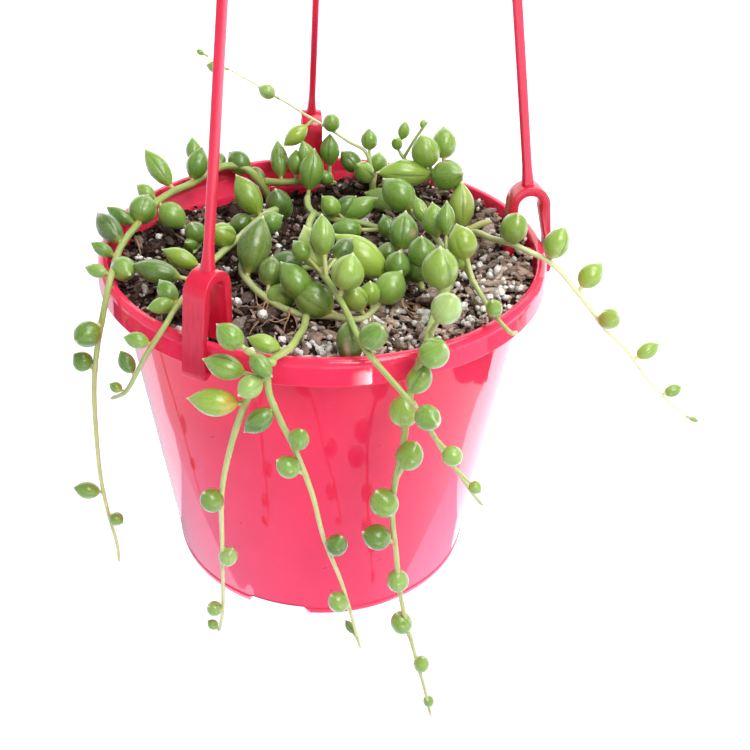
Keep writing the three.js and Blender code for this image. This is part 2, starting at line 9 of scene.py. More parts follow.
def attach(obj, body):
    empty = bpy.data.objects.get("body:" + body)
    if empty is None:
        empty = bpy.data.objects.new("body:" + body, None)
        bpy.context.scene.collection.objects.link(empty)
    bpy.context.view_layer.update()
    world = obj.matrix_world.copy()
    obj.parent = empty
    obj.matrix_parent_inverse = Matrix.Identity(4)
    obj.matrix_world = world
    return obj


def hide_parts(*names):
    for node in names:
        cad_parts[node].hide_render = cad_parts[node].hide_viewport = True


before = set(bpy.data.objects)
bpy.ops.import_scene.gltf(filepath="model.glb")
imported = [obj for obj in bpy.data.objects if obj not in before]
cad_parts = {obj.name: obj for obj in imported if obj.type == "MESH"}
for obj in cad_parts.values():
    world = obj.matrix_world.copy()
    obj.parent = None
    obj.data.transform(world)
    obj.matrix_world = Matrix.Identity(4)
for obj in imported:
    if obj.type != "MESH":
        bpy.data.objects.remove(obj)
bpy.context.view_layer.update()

# Sizes in millimetres, with the centre of the rim's top plane at zero, as in the part's source.
RIM_DROP = 375.8
RIM_RADIUS = 70.0
RIM_BAND = 7.7
RIM_INSIDE = RIM_RADIUS - 4
RIM_LEDGE = -4.4
POT_HEIGHT = 110.6
BASE_RADIUS = 50.9
WALL = 1.5
WALL_TOP_RADIUS = 64.2
WALL_INSIDE = WALL_TOP_RADIUS - WALL
FLOOR_LIFT = 3.0
FOOT_RING = 2.6
DRAIN_RADIUS = 3.6
DRAIN_CIRCLE = 40.0
NOTCH_AZIMUTHS = (254.0, 14.0, 134.0)
NOTCH_LENGTH = 19.0
CLIP_CENTRE = 63.5
CLIP_OUTER = 6.4
CLIP_INNER = 3.6
CLIP_WIDTH = 7.0
CLIP_SPRING = 12.9
ARM_RADIAL = 1.4
ARM_TANGENTIAL = 1.05
ARM_FOOT = 18.2
HUB_HEIGHT = 335.0
HUB_RADIUS = 8.0
HUB_THICKNESS = 12.0
SOCKET_DEPTH = 8.0
HOOK_RADIUS = 11.0
HOOK_HALF = 2.2
HOOK_CENTRE = HUB_HEIGHT + HUB_THICKNESS + 20.0
# For each arm, the azimuth, and how far its middle bows outward and sways sideways.
ARMS = {"left": (241.0, 0.0, 0.0), "right": (3.0, 3.0, 0.0), "back": (94.5, 0.0, -4.0)}

# The leaves are drawn larger than the solids', less so where they hang outside the pot, and the stems
# thinner, as the photograph shows them.
LEAF_GROWTH, HANGING_GROWTH, HANGING_REACH = 1.09, 1.03, 60
STEM_THINNING, FRONT_LEFT_THINNING = 0.95, 0.86

# The loose mix lies heaped against the wall: up to a level at the right, and by a height at the left,
# with the azimuths where each heap starts and is full at both its ends, and how far out it starts.
RIGHT_LEVEL, LEFT_HEIGHT = -2.8, 4.0
RIGHT_HEAP = ((265, 300), (98, 72))
LEFT_HEAP = ((128, 150), (236, 211))
HEAP_REACH = (43, 60)

# The number of sides of each kind of round mesh, and the size above which a chip has fine facets.
FINE_CHIP = 3.2
POT_SIDES = 216
SOIL_SIDES, SOIL_RINGS = 200, 64
HUB_SIDES = 64
BAR_SIDES = 20
STEM_SIDES = 12
LEAF_SIDES, LEAF_RINGS = 28, 26

# The photograph's camera, fitted to the pot's rim, base and arms, and the studio floor's level.
CAMERA_DISTANCE = 350.0
CAMERA_ELEVATION = 0.467
CAMERA_YAW = 0.047
CAMERA_PITCH = -0.119
CAMERA_ROLL = 0.014
CAMERA_FOCAL = 1107.96 / 750.0
FLOOR = -212.0

# Each leafy stem is a list of shoots: the path from root end to tip, the stem's radius at both
# ends, and its leaves as (distance along the path, heading, rise, length, width, stalk).
STEMS = {
    "stem_left": [
        ([(-20, 55, -20), (-20, 55, -11), (-23, 52, -3), (-28, 52, 2), (-34, 51.5, 3), (-40, 45, 3.2),
          (-44.5, 36.5, 3), (-50, 29, 3.2), (-55, 19, 3.2), (-58.5, 4, 3), (-61, -11, 3.2),
          (-61, -25.5, 3.5), (-61, -35, 2.5), (-63, -37, -5.5), (-66, -35.5, -17), (-69, -33, -32),
          (-70.5, -32, -50), (-71, -32, -69), (-70, -32, -85), (-68.5, -32, -98), (-68.5, -32, -105.5)],
         (1.5, 0.5), [(21, 150, 30, 9.5, 7.5, 2.5), (35, 90, 15, 7, 4, 1), (47, 105, 55, 8.5, 5, 5.5),
          (51, 65, 50, 11, 7, 1.5), (59, 140, 40, 14, 6.5, 2), (68, 155, 25, 7, 4.5, 1.5),
          (69, 335, -35, 10, 8, 1.5), (86, 160, 20, 9.5, 4.5, 1), (86, 75, 30, 10, 8, 1),
          (100, 130, 20, 13.5, 7, 1), (109, 165, 25, 7.5, 4, 1), (112, 305, 0, 9, 7, 1),
          (120, 160, 5, 7.5, 4, 1), (137, 240, -5, 9, 7.5, 2), (156, 185, 45, 6.5, 6, 1.5),
          (205, 185, 15, 8.5, 5.5, 1), (214, 330, -15, 5, 4.5, 1)]),
        ([(-21, 53.5, -3.5), (-16, 52, -3), (-9, 51.5, -2.5), (-1, 51.5, -2.5), (4, 52, -3)],
         (1.3, 0.9), [(0, 130, 15, 7.5, 4, 1), (6, 100, 50, 13, 6, 1.5), (11, 80, 82, 8.5, 5.5, 2.5),
          (18, 165, 72, 10, 5.5, 5), (23, 90, 85, 11, 6.5, 6), (26, 210, 35, 6, 4.5, 2)]),
    ],
    "stem_left_short": [
        ([(-14, 36, -18), (-14, 35, -9), (-16, 30, -3.5), (-19, 23, -1.5), (-22.5, 11, 0.5),
          (-26.5, -1, 1.5), (-30.5, -10, 1.5), (-34.5, -20.5, 1.5), (-37.5, -33.5, 2), (-40.5, -46.5, 3),
          (-42.5, -57.5, 3), (-46.5, -60, -2.5), (-51, -56, -12), (-56, -52, -22), (-61, -48, -27)],
         (1.4, 0.6), [(8, 235, 70, 12.5, 8.5, 1), (25, 215, -5, 8, 6, 6), (30, 140, 45, 14, 8, 1),
          (47, 15, 20, 7.2, 6.6, 6), (53, 220, 40, 9, 7, 1), (72, 165, 15, 11, 5.5, 2.5),
          (81, 170, 10, 14, 6.5, 4.5), (96, 205, 5, 7.5, 4.5, 1), (97, 135, 30, 8, 5.5, 1),
          (115, 170, 10, 7, 4.5, 1), (131, 140, 50, 7, 4.5, 1), (140, 165, 25, 4, 3, 1)]),
        ([(-20, 20, -1), (-27, 22, -3.5), (-33, 18, -4.5), (-39, 9, -4.5), (-41, 0, -4.5)],
         (1.1, 0.7), [(29, 245, 70, 8, 6.5, 1), (30, 240, 30, 6, 4, 1)]),
    ],
    "stem_front_left": [
        ([(-25, -2, -17), (-25, -2, -9), (-25, -5, -3.6), (-24.5, -15, -3.6), (-16, -30, -4),
          (-7, -37, -4.5), (2, -38, -4.5), (10.5, -39.5, -4.5), (15, -33, -4.5), (19, -27, -3),
          (21, -22, -1)],
         (1.4, 1), [(28, 70, 50, 17, 9.5, 1.5), (37, 335, 4, 8.8, 6.9, 2.5), (41, 84, 36, 9.6, 6.6, 4),
          (61, 150, 40, 12.5, 8, 6.5), (65, 155, 25, 13, 9.5, 2.5), (73, 205, 65, 8.5, 6.5, 3.5),
          (77, 165, 85, 7, 5.5, 2.5), (80, 30, 50, 10.5, 8.5, 1.5), (91, 340, 80, 8.5, 7, 2),
          (92, 160, 30, 18.5, 10, 2.5)]),
        ([(-5, -38, -4.5), (-5.5, -48.5, -2), (-7, -61.5, 2.5), (-9, -69.5, 4), (-14, -72.5, 1.5),
          (-14, -76, -4.5), (-11.5, -76, -13), (-8, -76, -22), (-3, -76, -38), (0.5, -76, -55),
          (6, -76, -73), (9, -76, -86), (12, -76, -100)],
         (1.3, 0.5), [(34, 170, 15, 9, 5, 1.5), (44, 165, 10, 11.5, 6.5, 6), (52, 185, -45, 10, 6, 1),
          (67, 315, 70, 7.5, 5.5, 1), (76, 200, 40, 8, 6, 2.5), (107, 325, 70, 7.5, 6, 2.5),
          (129, 195, 50, 7.5, 6, 2), (142, 140, 45, 5, 2.5, 2)]),
        ([(-13.5, -74.5, 0), (-17, -76, -2), (-19.5, -76, -7), (-21.5, -75, -13), (-24.5, -73, -24),
          (-28, -71, -42), (-29, -70, -65), (-30, -69, -90), (-31.5, -68, -100.5)],
         (1.2, 0.5), [(2, 225, -10, 8, 6, 1), (12, 175, 0, 13.5, 7.5, 1.5), (53, 210, 55, 8, 6.5, 1),
          (76, 350, 65, 7, 5.5, 1), (96, 210, 45, 5.5, 4.5, 1), (107, 170, 45, 4, 3, 1)]),
        ([(-12.5, -73, 2), (-16.5, -74.5, 4.5), (-21, -73, 7)],
         (1.1, 0.8), [(8, 160, 35, 8.5, 6.5, 2), (8, 320, -30, 8, 5, 1)]),
    ],
    "stem_middle": [
        ([(-6, 43, -18), (-6, 43, -10), (-6, 41, -4), (-5.5, 33, -3.5), (-3, 27, -3.5), (3, 24, -3.5),
          (10, 22, -3.5), (17, 18, -3.5), (22, 12.5, -4), (22.5, 6, -4.2)],
         (1.3, 0.9), [(12, 70, 68, 13.5, 8, 4), (36, 25, 40, 8.5, 6, 1.5), (37, 10, 25, 12.5, 6.5, 2),
          (40, 175, 45, 7.8, 5.9, 3), (54, 180, 0, 10.5, 7, 6.5), (65, 115, 40, 8, 6, 2.5)]),
        ([(-3.5, 28, -3.5), (-5, 16, -1.5), (-5, 2, 1), (-4, -12, 3.5), (-2, -26, 5.5), (2, -40, 6.5),
          (5, -50, 6.5), (7, -58, 6.5), (9, -66, 5.8), (12, -73, 4.5), (16.5, -75.5, 0), (22, -80, -4.5),
          (27.5, -79, -13.5), (33, -74, -26), (39.5, -69, -39), (44.5, -66, -48.5), (47, -64, -53)],
         (1.3, 0.5), [(60, 120, 45, 12.5, 8, 1), (62, 48, 30, 7.6, 5.4, 6), (63, 145, 35, 6.5, 5, 6.5),
          (65, 100, 60, 11, 6.5, 6.5), (77, 42, 66, 10, 8.6, 2.5), (87, 275, -55, 12, 7, 1),
          (100, 320, 50, 9, 7, 1), (122, 295, 10, 8.5, 6.5, 3.5), (136, 300, -5, 6, 5.5, 5.5),
          (153, 325, -30, 4, 3.5, 6.5)]),
    ],
    "stem_centre": [
        ([(0, -7, -16), (0, -7, -8), (2, -7, -3.6), (12, -7, -3.8), (22, -9, -3.5), (28, -18, -2.5),
          (29, -28, -1)],
         (1.2, 0.9), [(28, 35, 45, 7, 5.5, 1), (35, 80, 50, 11.5, 8.5, 5.5), (41, 210, -6, 9.4, 6.8, 1.5),
          (43, 270, 50, 10, 7.5, 1), (48, 10, 90, 9.5, 8, 5)]),
        ([(1, -7, -5), (-6, -10, -4), (-13, -15, -4)],
         (1, 0.8), [(8, 205, 25, 10, 8, 1)]),
    ],
    "stem_right_short": [
        ([(28, 40, -17), (28, 39.5, -8), (28, 37, -3), (28.5, 29, -1.5), (29, 20, 1), (31.5, 7.5, 3.5),
          (34.5, -5, 4.5), (37.5, -17, 4.5), (41, -22, 4), (43.5, -30.5, 3), (45, -41, 3.5), (47, -51.5, 4),
          (50.5, -58.5, 3), (53, -54, 0.5)],
         (1.3, 0.6), [(10, 170, 20, 11, 7.5, 3.5), (37, 140, 35, 13, 9.5, 2.5), (48, 115, 40, 8.5, 4.5, 1),
          (60, 110, 55, 10, 7, 1), (68, 90, 60, 10, 5, 4.5), (83, 130, 40, 8.5, 5.5, 2.5),
          (85, 120, 55, 10, 8, 6.5), (107, 245, 60, 6.5, 4.5, 1)]),
    ],
    "stem_front_right": [
        ([(39, -14, -17), (39, -14, -8), (38.5, -18, -2), (35.5, -33, 1.5), (31, -48, 3), (28.5, -59, 4),
          (27, -67, 4.2), (25.5, -70, 1.5), (23.5, -71, -5.5), (22.5, -71, -15), (22, -71, -26),
          (20.5, -71, -37), (20, -71, -50), (22, -71, -67), (24, -70, -84), (28.5, -69, -105),
          (34, -68, -128), (37, -67, -142.5)],
         (1.4, 0.5), [(40, 156, 84, 12, 9.6, 4), (63, 320, 65, 10, 8, 6.5), (72, 315, 45, 10, 8, 1),
          (83, 10, 65, 9.5, 6.5, 1), (95, 215, 85, 10, 8, 2.5), (112, 335, 70, 10, 7.5, 6),
          (124, 205, 60, 10, 8, 1), (135, 195, 30, 9.5, 7.5, 2), (157, 180, 80, 8.5, 6.5, 1.5),
          (178, 175, 65, 8.5, 6.5, 3.5), (194, 295, 80, 6.5, 5, 1), (214, 130, 80, 4.5, 3.5, 1)]),
    ],
    "stem_right": [
        ([(46, 22, -16), (46, 20, -8), (49, 12, -2), (52.5, 0, 2), (57.5, -7.5, 4), (61.5, -13, 4.5),
          (67, -17, 3.5), (71, -17.5, 0.5), (76, -18, -5), (81.5, -18.5, -11.5), (88, -19, -19.5),
          (95.5, -20, -26.5), (103.5, -20.5, -36.5), (111.5, -21.5, -44.5), (120, -22.5, -51.5)],
         (1.3, 0.3), [(8, 95, 65, 14.6, 8, 3.2), (40, 305, 75, 10, 8, 1), (56, 30, 70, 10.5, 7.5, 1),
          (70, 40, 35, 10, 7, 2), (83, 300, 40, 8.5, 6.5, 1), (101, 25, 20, 8.5, 5, 1.5),
          (118, 20, 10, 6.5, 4, 1), (130, 0, -25, 4, 1.6, 1)]),
        ([(47, 17, -4), (51, 17, -1.5), (55, 18, -1)],
         (1.2, 1.2), []),
    ],
    "stem_back_right": [
        ([(30, 50, -18), (30, 49, -9), (30, 49, -2), (32, 42, 3), (35, 37, 6.5), (38, 35.5, 8.5),
          (42, 40, 9.5)],
         (1.4, 1), [(33, 315, 20, 12, 9.5, 2), (34, 165, 70, 11, 9, 3), (35, 190, 5, 18, 8.5, 1),
          (39, 90, 55, 10.5, 8, 3.5)]),
        ([(34, 39.5, 5), (29.5, 42, 8), (26.5, 43, 11), (25, 44, 13)],
         (0.8, 0.6), [(13, 258, 42, 7.4, 3.6, 2.5), (13, 354, 78, 6.2, 3.8, 4)]),
        ([(27, 43, 11), (30.2, 42.5, 17.5), (34.4, 42, 24.3)],
         (0.6, 0.4), [(11, 50, 65, 2.8, 2.2, 1)]),
    ],
    "stem_back": [
        ([(17, 50, -18), (17, 50, -9), (16.5, 50, 0), (14, 50.5, 9.5), (8, 51, 13), (3, 52, 16),
          (-1, 53, 18), (-8, 55, 21.5), (-13, 57, 24), (-18, 59, 26), (-24, 61, 29), (-29, 63, 31),
          (-34.5, 65, 33.5), (-40.5, 67, 36.5)],
         (1.3, 0.3), [(13, 70, 60, 7, 6.5, 6.5), (16, 160, 40, 8.5, 6.5, 6.5), (17, 230, 45, 11, 6.5, 1),
          (24, 95, 70, 7, 5.5, 4), (41, 245, 65, 6.5, 5.5, 1), (49, 205, -35, 10, 5.5, 3),
          (63, 165, 25, 6.5, 5, 1.5), (83, 170, 5, 6, 4, 2), (93, 170, 25, 3, 2, 1.5)]),
    ],
}

# How much each stem's leaves lean from deep green (0) to pale blue-green (1) and to yellow (1), and how
# pale the stem itself is over the mix and at its end.
STEM_TONES = {
    "stem_left": (0.32, 0.1, 0.25, 0.9), "stem_left_short": (0.38, 0.1, 0.3, 0.65),
    "stem_front_left": (0.55, 0.2, 0.3, 1.0), "stem_middle": (0.5, 0.2, 0.2, 0.7),
    "stem_centre": (0.15, 0.2, 0.2, 0.6), "stem_right_short": (0.45, 0.35, 0.45, 0.7),
    "stem_front_right": (0.6, 0.2, 0.3, 0.72), "stem_right": (0.62, 0.35, 0.75, 1.0),
    "stem_back_right": (0.6, 0.35, 0.45, 0.7), "stem_back": (0.62, 0.15, 0.4, 0.7),
}

# How far a shoot's colour is washed out: near its root, as painted light for the stems that lie in
# shade among the leaves, and at its low or far end.
STEM_LIGHT_AND_WASH = {
    "stem_right": {0: (0.7, 0.8)}, "stem_front_left": {2: (0.1, 0.3), 1: (0.1, 0.15), 0: (0.3, 0.1)},
    "stem_left": {0: (0.1, 0.15)}, "stem_right_short": {0: (0.6, 0.2)},
    "stem_back_right": {0: (0.7, 0.2)}, "stem_back": {0: (0.5, 0.65)},
}
USUAL_LIGHT_AND_WASH = (0.12, 0.0)

# Leaves with a look of their own, by stem and by (shoot, distance along it): how yellow a fresh leaf is,
# how much darker a leaf is, a scar as (place from base to tip, way round, length, width), and how
# orange a ripe leaf's base is.
FRESH_LEAVES = {
    "stem_front_left": {(0, 92): 0.6, (0, 73): 0.45, (0, 77): 0.5, (1, 34): 0.5, (2, 12): 0.5},
    "stem_middle": {(1, 60): 0.45, (1, 77): 0.25},
    "stem_left_short": {(0, 30): 0.4, (0, 53): 0.5, (0, 72): 0.5},
    "stem_right": {(0, 8): 0.5, (0, 56): 0.3, (0, 70): 0.4, (0, 83): 0.35},
    "stem_right_short": {(0, 85): 0.55, (0, 83): 0.3},
    "stem_front_right": {(0, 95): 0.35, (0, 112): 0.3, (0, 40): 0.2, (0, 83): 0.3},
    "stem_back": {(0, 49): 0.6}, "stem_back_right": {(0, 35): 0.35},
}
DARK_LEAVES = {
    "stem_front_left": {(0, 28): -0.4, (0, 41): -0.5, (0, 61): -0.3, (0, 65): -0.25},
    "stem_middle": {(1, 87): -0.4, (1, 62): -0.3, (0, 65): -0.3, (0, 54): -0.25, (1, 63): -0.25},
    "stem_centre": {(0, 41): -0.3, (0, 43): -0.15, (1, 8): -0.2},
    "stem_left_short": {(0, 81): -0.35, (1, 29): -0.3, (0, 25): -0.25, (0, 8): -0.2, (0, 47): -0.3},
    "stem_back": {(0, 16): -0.3},
}
SCARRED_LEAVES = {
    "stem_middle": {(1, 87): (0.75, 0.35, 0.3, 0.22)}, "stem_back_right": {(0, 33): (0.35, 0.3, 0.3, 0.16)},
    "stem_centre": {(0, 35): (0.4, 0.9, 0.1, 0.3)},
}
RIPE_LEAVES = {"stem_front_left": {(2, 12): 1.0}, "stem_left_short": {(0, 140): 0.3}}

# Half a leaf's width along it, from stalk to tip, for a round leaf and for a slim one.
ROUND_LEAF = ((0.0, 0.0), (0.02, 0.2), (0.06, 0.45), (0.13, 0.7), (0.24, 0.9), (0.36, 0.99), (0.47, 1.0),
              (0.6, 0.94), (0.71, 0.8), (0.8, 0.6), (0.87, 0.38), (0.91, 0.22), (0.94, 0.12), (1.0, 0.02))
SLIM_LEAF = ((0.0, 0.0), (0.02, 0.13), (0.07, 0.36), (0.15, 0.62), (0.26, 0.84), (0.38, 0.97), (0.48, 1.0),
             (0.6, 0.94), (0.71, 0.78), (0.8, 0.57), (0.87, 0.35), (0.91, 0.22), (0.94, 0.12), (1.0, 0.02))

# Larger white grains that stand out, as (x, y, size), and places where small ones lie close together.
LARGE_GRAINS = (
    (53.5, -12, 3.4), (43.6, -12, 3.2), (45.8, -30.5, 3.0), (46.0, -38.5, 3.0), (-17.6, -35.4, 3.2),
    (-7.1, -36.4, 2.9), (37, -2, 2.5), (14.8, -37, 2.8), (-29.9, -6.4, 2.6), (-27, -28, 2.4),
)
GRAIN_PATCHES = (
    (43.7, -4.4), (-6.6, -49.7), (-2.0, -52.0), (1.8, -53.2), (7.4, -49.5), (22.3, -34), (27.6, -41),
    (32.9, -36.4), (40.4, -43.3), (14.8, -37), (-27, -28), (-29.9, -6.4), (-55, -1.5), (-51, -14),
    (38, -20), (52, -24),
)

# Splinters of bark that catch the eye, as (x, y, length, heading, how light they are).
BARK_PIECES = (
    (49, -24, 9, 40, 0.9), (52, -20, 8, 52, 0.75), (47, -28, 8, 35, 0.85), (54, -14, 7, 60, 0.9),
    (56, -9, 8, 70, 0.6), (50, -8, 7, 20, 0.5), (44, -22, 7, 45, 0.8), (40, -28, 7, 20, 0.9),
    (34, -42, 9, 25, 0.6), (38, -38, 8, 30, 0.8), (46, 2, 8, 80, 0.35), (50, 8, 9, 100, 0.4),
    (40, 6, 7, 30, 0.45), (24, -36, 7, 70, 0.8), (21, -30, 8, 95, 0.7), (17, -33, 6, 60, 0.9),
    (-24, -14, 7, 160, 0.5), (-32, -20, 7, 20, 0.6), (-12, -44, 6, 120, 0.5), (10, 30, 9, 10, 0.5),
    (22, 36, 8, 150, 0.6), (34, 30, 8, 30, 0.5), (-22, 6, 8, 40, 0.5), (-40, -12, 7, 140, 0.25),
    (28, 44, 8, 5, 0.55),
)

# Scattered bark: how many, the logarithm of the mean size and its spread, the largest size, the
# bounds of the width and thickness as shares of the length, and whether it lies in the heaps alone.
BARK_KINDS = (
    (640, 1.35, 0.35, 8.0, (0.35, 0.7), (0.2, 0.45), False),
    (900, 1.25, 0.4, 9.0, (0.12, 0.28), (0.1, 0.26), False),
    (2900, 0.2, 0.45, 2.6, (0.5, 1.1), (0.5, 1.1), False),
    (1000, 1.0, 0.4, 6.0, (0.2, 0.6), (0.16, 0.5), True),
)

# Where the thin dry roots start, and the path of one at the left.
ROOT_STARTS = ((17, -24, -3), (19, -26, -3), (14, -32, -4), (20, -22, -2), (22, -30, -3), (12, -35, -4),
               (-20, -26, -4), (-16, -30, -4), (-10, -36, -4))
LEFT_ROOT = ((-59.3, 4.4, -1.5), (-57.9, 1.4, -4.5), (-57.4, -0.4, -8.5))


def place(points):
    """Millimetres from the rim's centre to metres from the hook."""
    moved = np.asarray(points, float) / 1000.0
    moved[..., 2] -= RIM_DROP / 1000.0
    return moved


def polar(radius, angle, *height):
    """A point at an angle in radians round the axis, with a height if one is given."""
    return (radius * math.cos(angle), radius * math.sin(angle), *height)


def mesh_object(name, verts, faces, material=None):
    """An object in the scene from millimetre vertices."""
    mesh = bpy.data.meshes.new(name)
    mesh.from_pydata([tuple(p) for p in place(verts)], [], [tuple(int(i) for i in f) for f in faces])
    mesh.update()
    if material:
        mesh.materials.append(material)
    obj = bpy.data.objects.new(name, mesh)
    bpy.context.scene.collection.objects.link(obj)
    return obj


def build(name, verts, faces, material, slot, replaces=(), flat=False, **layers):
    """A visible piece that rides on the part, with its tones and marks as vertex colours."""
    obj = mesh_object(name, verts, faces, material)
    for title, values in layers.items():
        layer = obj.data.color_attributes.new(title, "FLOAT_COLOR", "POINT")
        layer.data.foreach_set("color", np.asarray(values, np.float32).ravel())
    obj.data.polygons.foreach_set("use_smooth", [not flat] * len(obj.data.polygons))
    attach(obj, "root")
    if replaces:
        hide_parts(*replaces)
    return obj


class Shape:
    """Gathers pieces of mesh into one."""

    def __init__(self):
        self.verts, self.faces, self.tones, self.marks = [], [], [], []
        self.count = 0

    def add(self, verts, faces, tones=(0,) * 4, marks=(0,) * 4):
        """Adds a piece, with tones and marks for each vertex or one for all."""
        self.verts.append(np.asarray(verts, float))
        self.faces.extend([[i + self.count for i in f] for f in faces])
        self.tones.append(np.broadcast_to(tones, (len(verts), 4)))
        self.marks.append(np.broadcast_to(marks, (len(verts), 4)))
        self.count += len(verts)

    def build(self, name, material, slot, replaces=(), flat=False):
        return build(name, np.vstack(self.verts), self.faces, material, slot, replaces, flat,
                     tones=np.vstack(self.tones), marks=np.vstack(self.marks))


def tube_faces(rings, sides):
    """Faces of a tube of rings that is closed at both ends."""
    faces = [(a + s, a + (s + 1) % sides, a + sides + (s + 1) % sides, a + sides + s)
             for a in range(0, (rings - 1) * sides, sides) for s in range(sides)]
    return faces + [tuple(reversed(range(sides))), tuple((rings - 1) * sides + s for s in range(sides))]


def turned_faces(rings, sides):
    """Faces of a closed shape of revolution: a vertex on the axis, the rings, and another vertex."""
    top = 1 + (rings - 1) * sides
    faces = []
    for s in range(sides):
        after = (s + 1) % sides
        faces.append((0, 1 + after, 1 + s))
        for a in range(1, top, sides):
            faces.append((a + s, a + after, a + after + sides, a + s + sides))
        faces.append((top + s, top + after, top + sides))
    return faces


def lathe(profile, sides):
    """A closed shape of revolution from (radius, height) pairs that start and end on the axis."""
    inner = profile[1:-1]
    verts = [(0, 0, profile[0][1])]
    for radius, height in inner:
        verts += [polar(radius, 2 * math.pi * s / sides, height) for s in range(sides)]
    verts.append((0, 0, profile[-1][1]))
    return np.array(verts), turned_faces(len(inner), sides)


def rounded(profile, radii, steps=4):
    """Rounds the corners of a profile: radii maps a corner's number to its radius."""
    points = np.array(profile, float)
    out = []
    for i, p in enumerate(points):
        if i not in radii:
            out.append(tuple(p))
            continue
        before, after = points[i - 1] - p, points[i + 1] - p
        reach = min(radii[i], 0.45 * np.linalg.norm(before), 0.45 * np.linalg.norm(after))
        a = p + before / np.linalg.norm(before) * reach
        b = p + after / np.linalg.norm(after) * reach
        for t in np.arange(steps + 1) / steps:
            out.append(tuple((1 - t) ** 2 * a + 2 * t * (1 - t) * p + t * t * b))
    return out


def spline(points, spacing):
    """Centripetal Catmull-Rom curve through the points, resampled at an even spacing, with the
    distance along it of each new point."""
    p = np.asarray(points, float)
    ends = np.vstack([2 * p[0] - p[1], p, 2 * p[-1] - p[-2]])
    fine = []
    for i in range(len(p) - 1):
        p0, p1, p2, p3 = ends[i:i + 4]
        d0, d1, d2 = (max(np.sum((a - b) ** 2) ** 0.25, 1e-3) for a, b in ((p0, p1), (p1, p2), (p2, p3)))
        m1 = ((p1 - p0) / d0 - (p2 - p0) / (d0 + d1) + (p2 - p1) / d1) * d1
        m2 = ((p2 - p1) / d1 - (p3 - p1) / (d1 + d2) + (p3 - p2) / d2) * d1
        for t in np.linspace(0, 1, 24, endpoint=False):
            fine.append(p1 + m1 * t + (3 * (p2 - p1) - 2 * m1 - m2) * t * t
                        + (2 * (p1 - p2) + m1 + m2) * t ** 3)
    fine = np.array(fine + [p[-1]])
    along = np.r_[0, np.cumsum(np.linalg.norm(np.diff(fine, axis=0), axis=1))]
    marks = np.linspace(0, along[-1], max(3, int(round(along[-1] / spacing)) + 1))
    return np.stack([np.interp(marks, along, fine[:, k]) for k in range(3)], 1), marks


def frames(points, side=(0, 0, 1)):
    """A side and an up direction for every point of a curve, turning as little as they can."""
    tangents = np.gradient(points, axis=0)
    tangents /= np.linalg.norm(tangents, axis=1)[:, None]
    if abs(side @ tangents[0]) > 0.95:
        side = (1.0, 0, 0)
    sides = []
    for t in tangents:
        side = side - (side @ t) * t
        side /= np.linalg.norm(side)
        sides.append(side)
    return np.array(sides), np.cross(tangents, sides)


def tube(points, radii, sides=STEM_SIDES, start=(0, 0, 1)):
    """Vertices and faces of a round tube along the points."""
    side, up = frames(points, start)
    angles = 2 * np.pi * np.arange(sides)[None, :, None] / sides
    ring = np.cos(angles) * side[:, None, :] + np.sin(angles) * up[:, None, :]
    radii = np.broadcast_to(radii, (len(points),))
    verts = points[:, None, :] + ring * radii[:, None, None]
    return verts.reshape(-1, 3), tube_faces(len(points), sides)


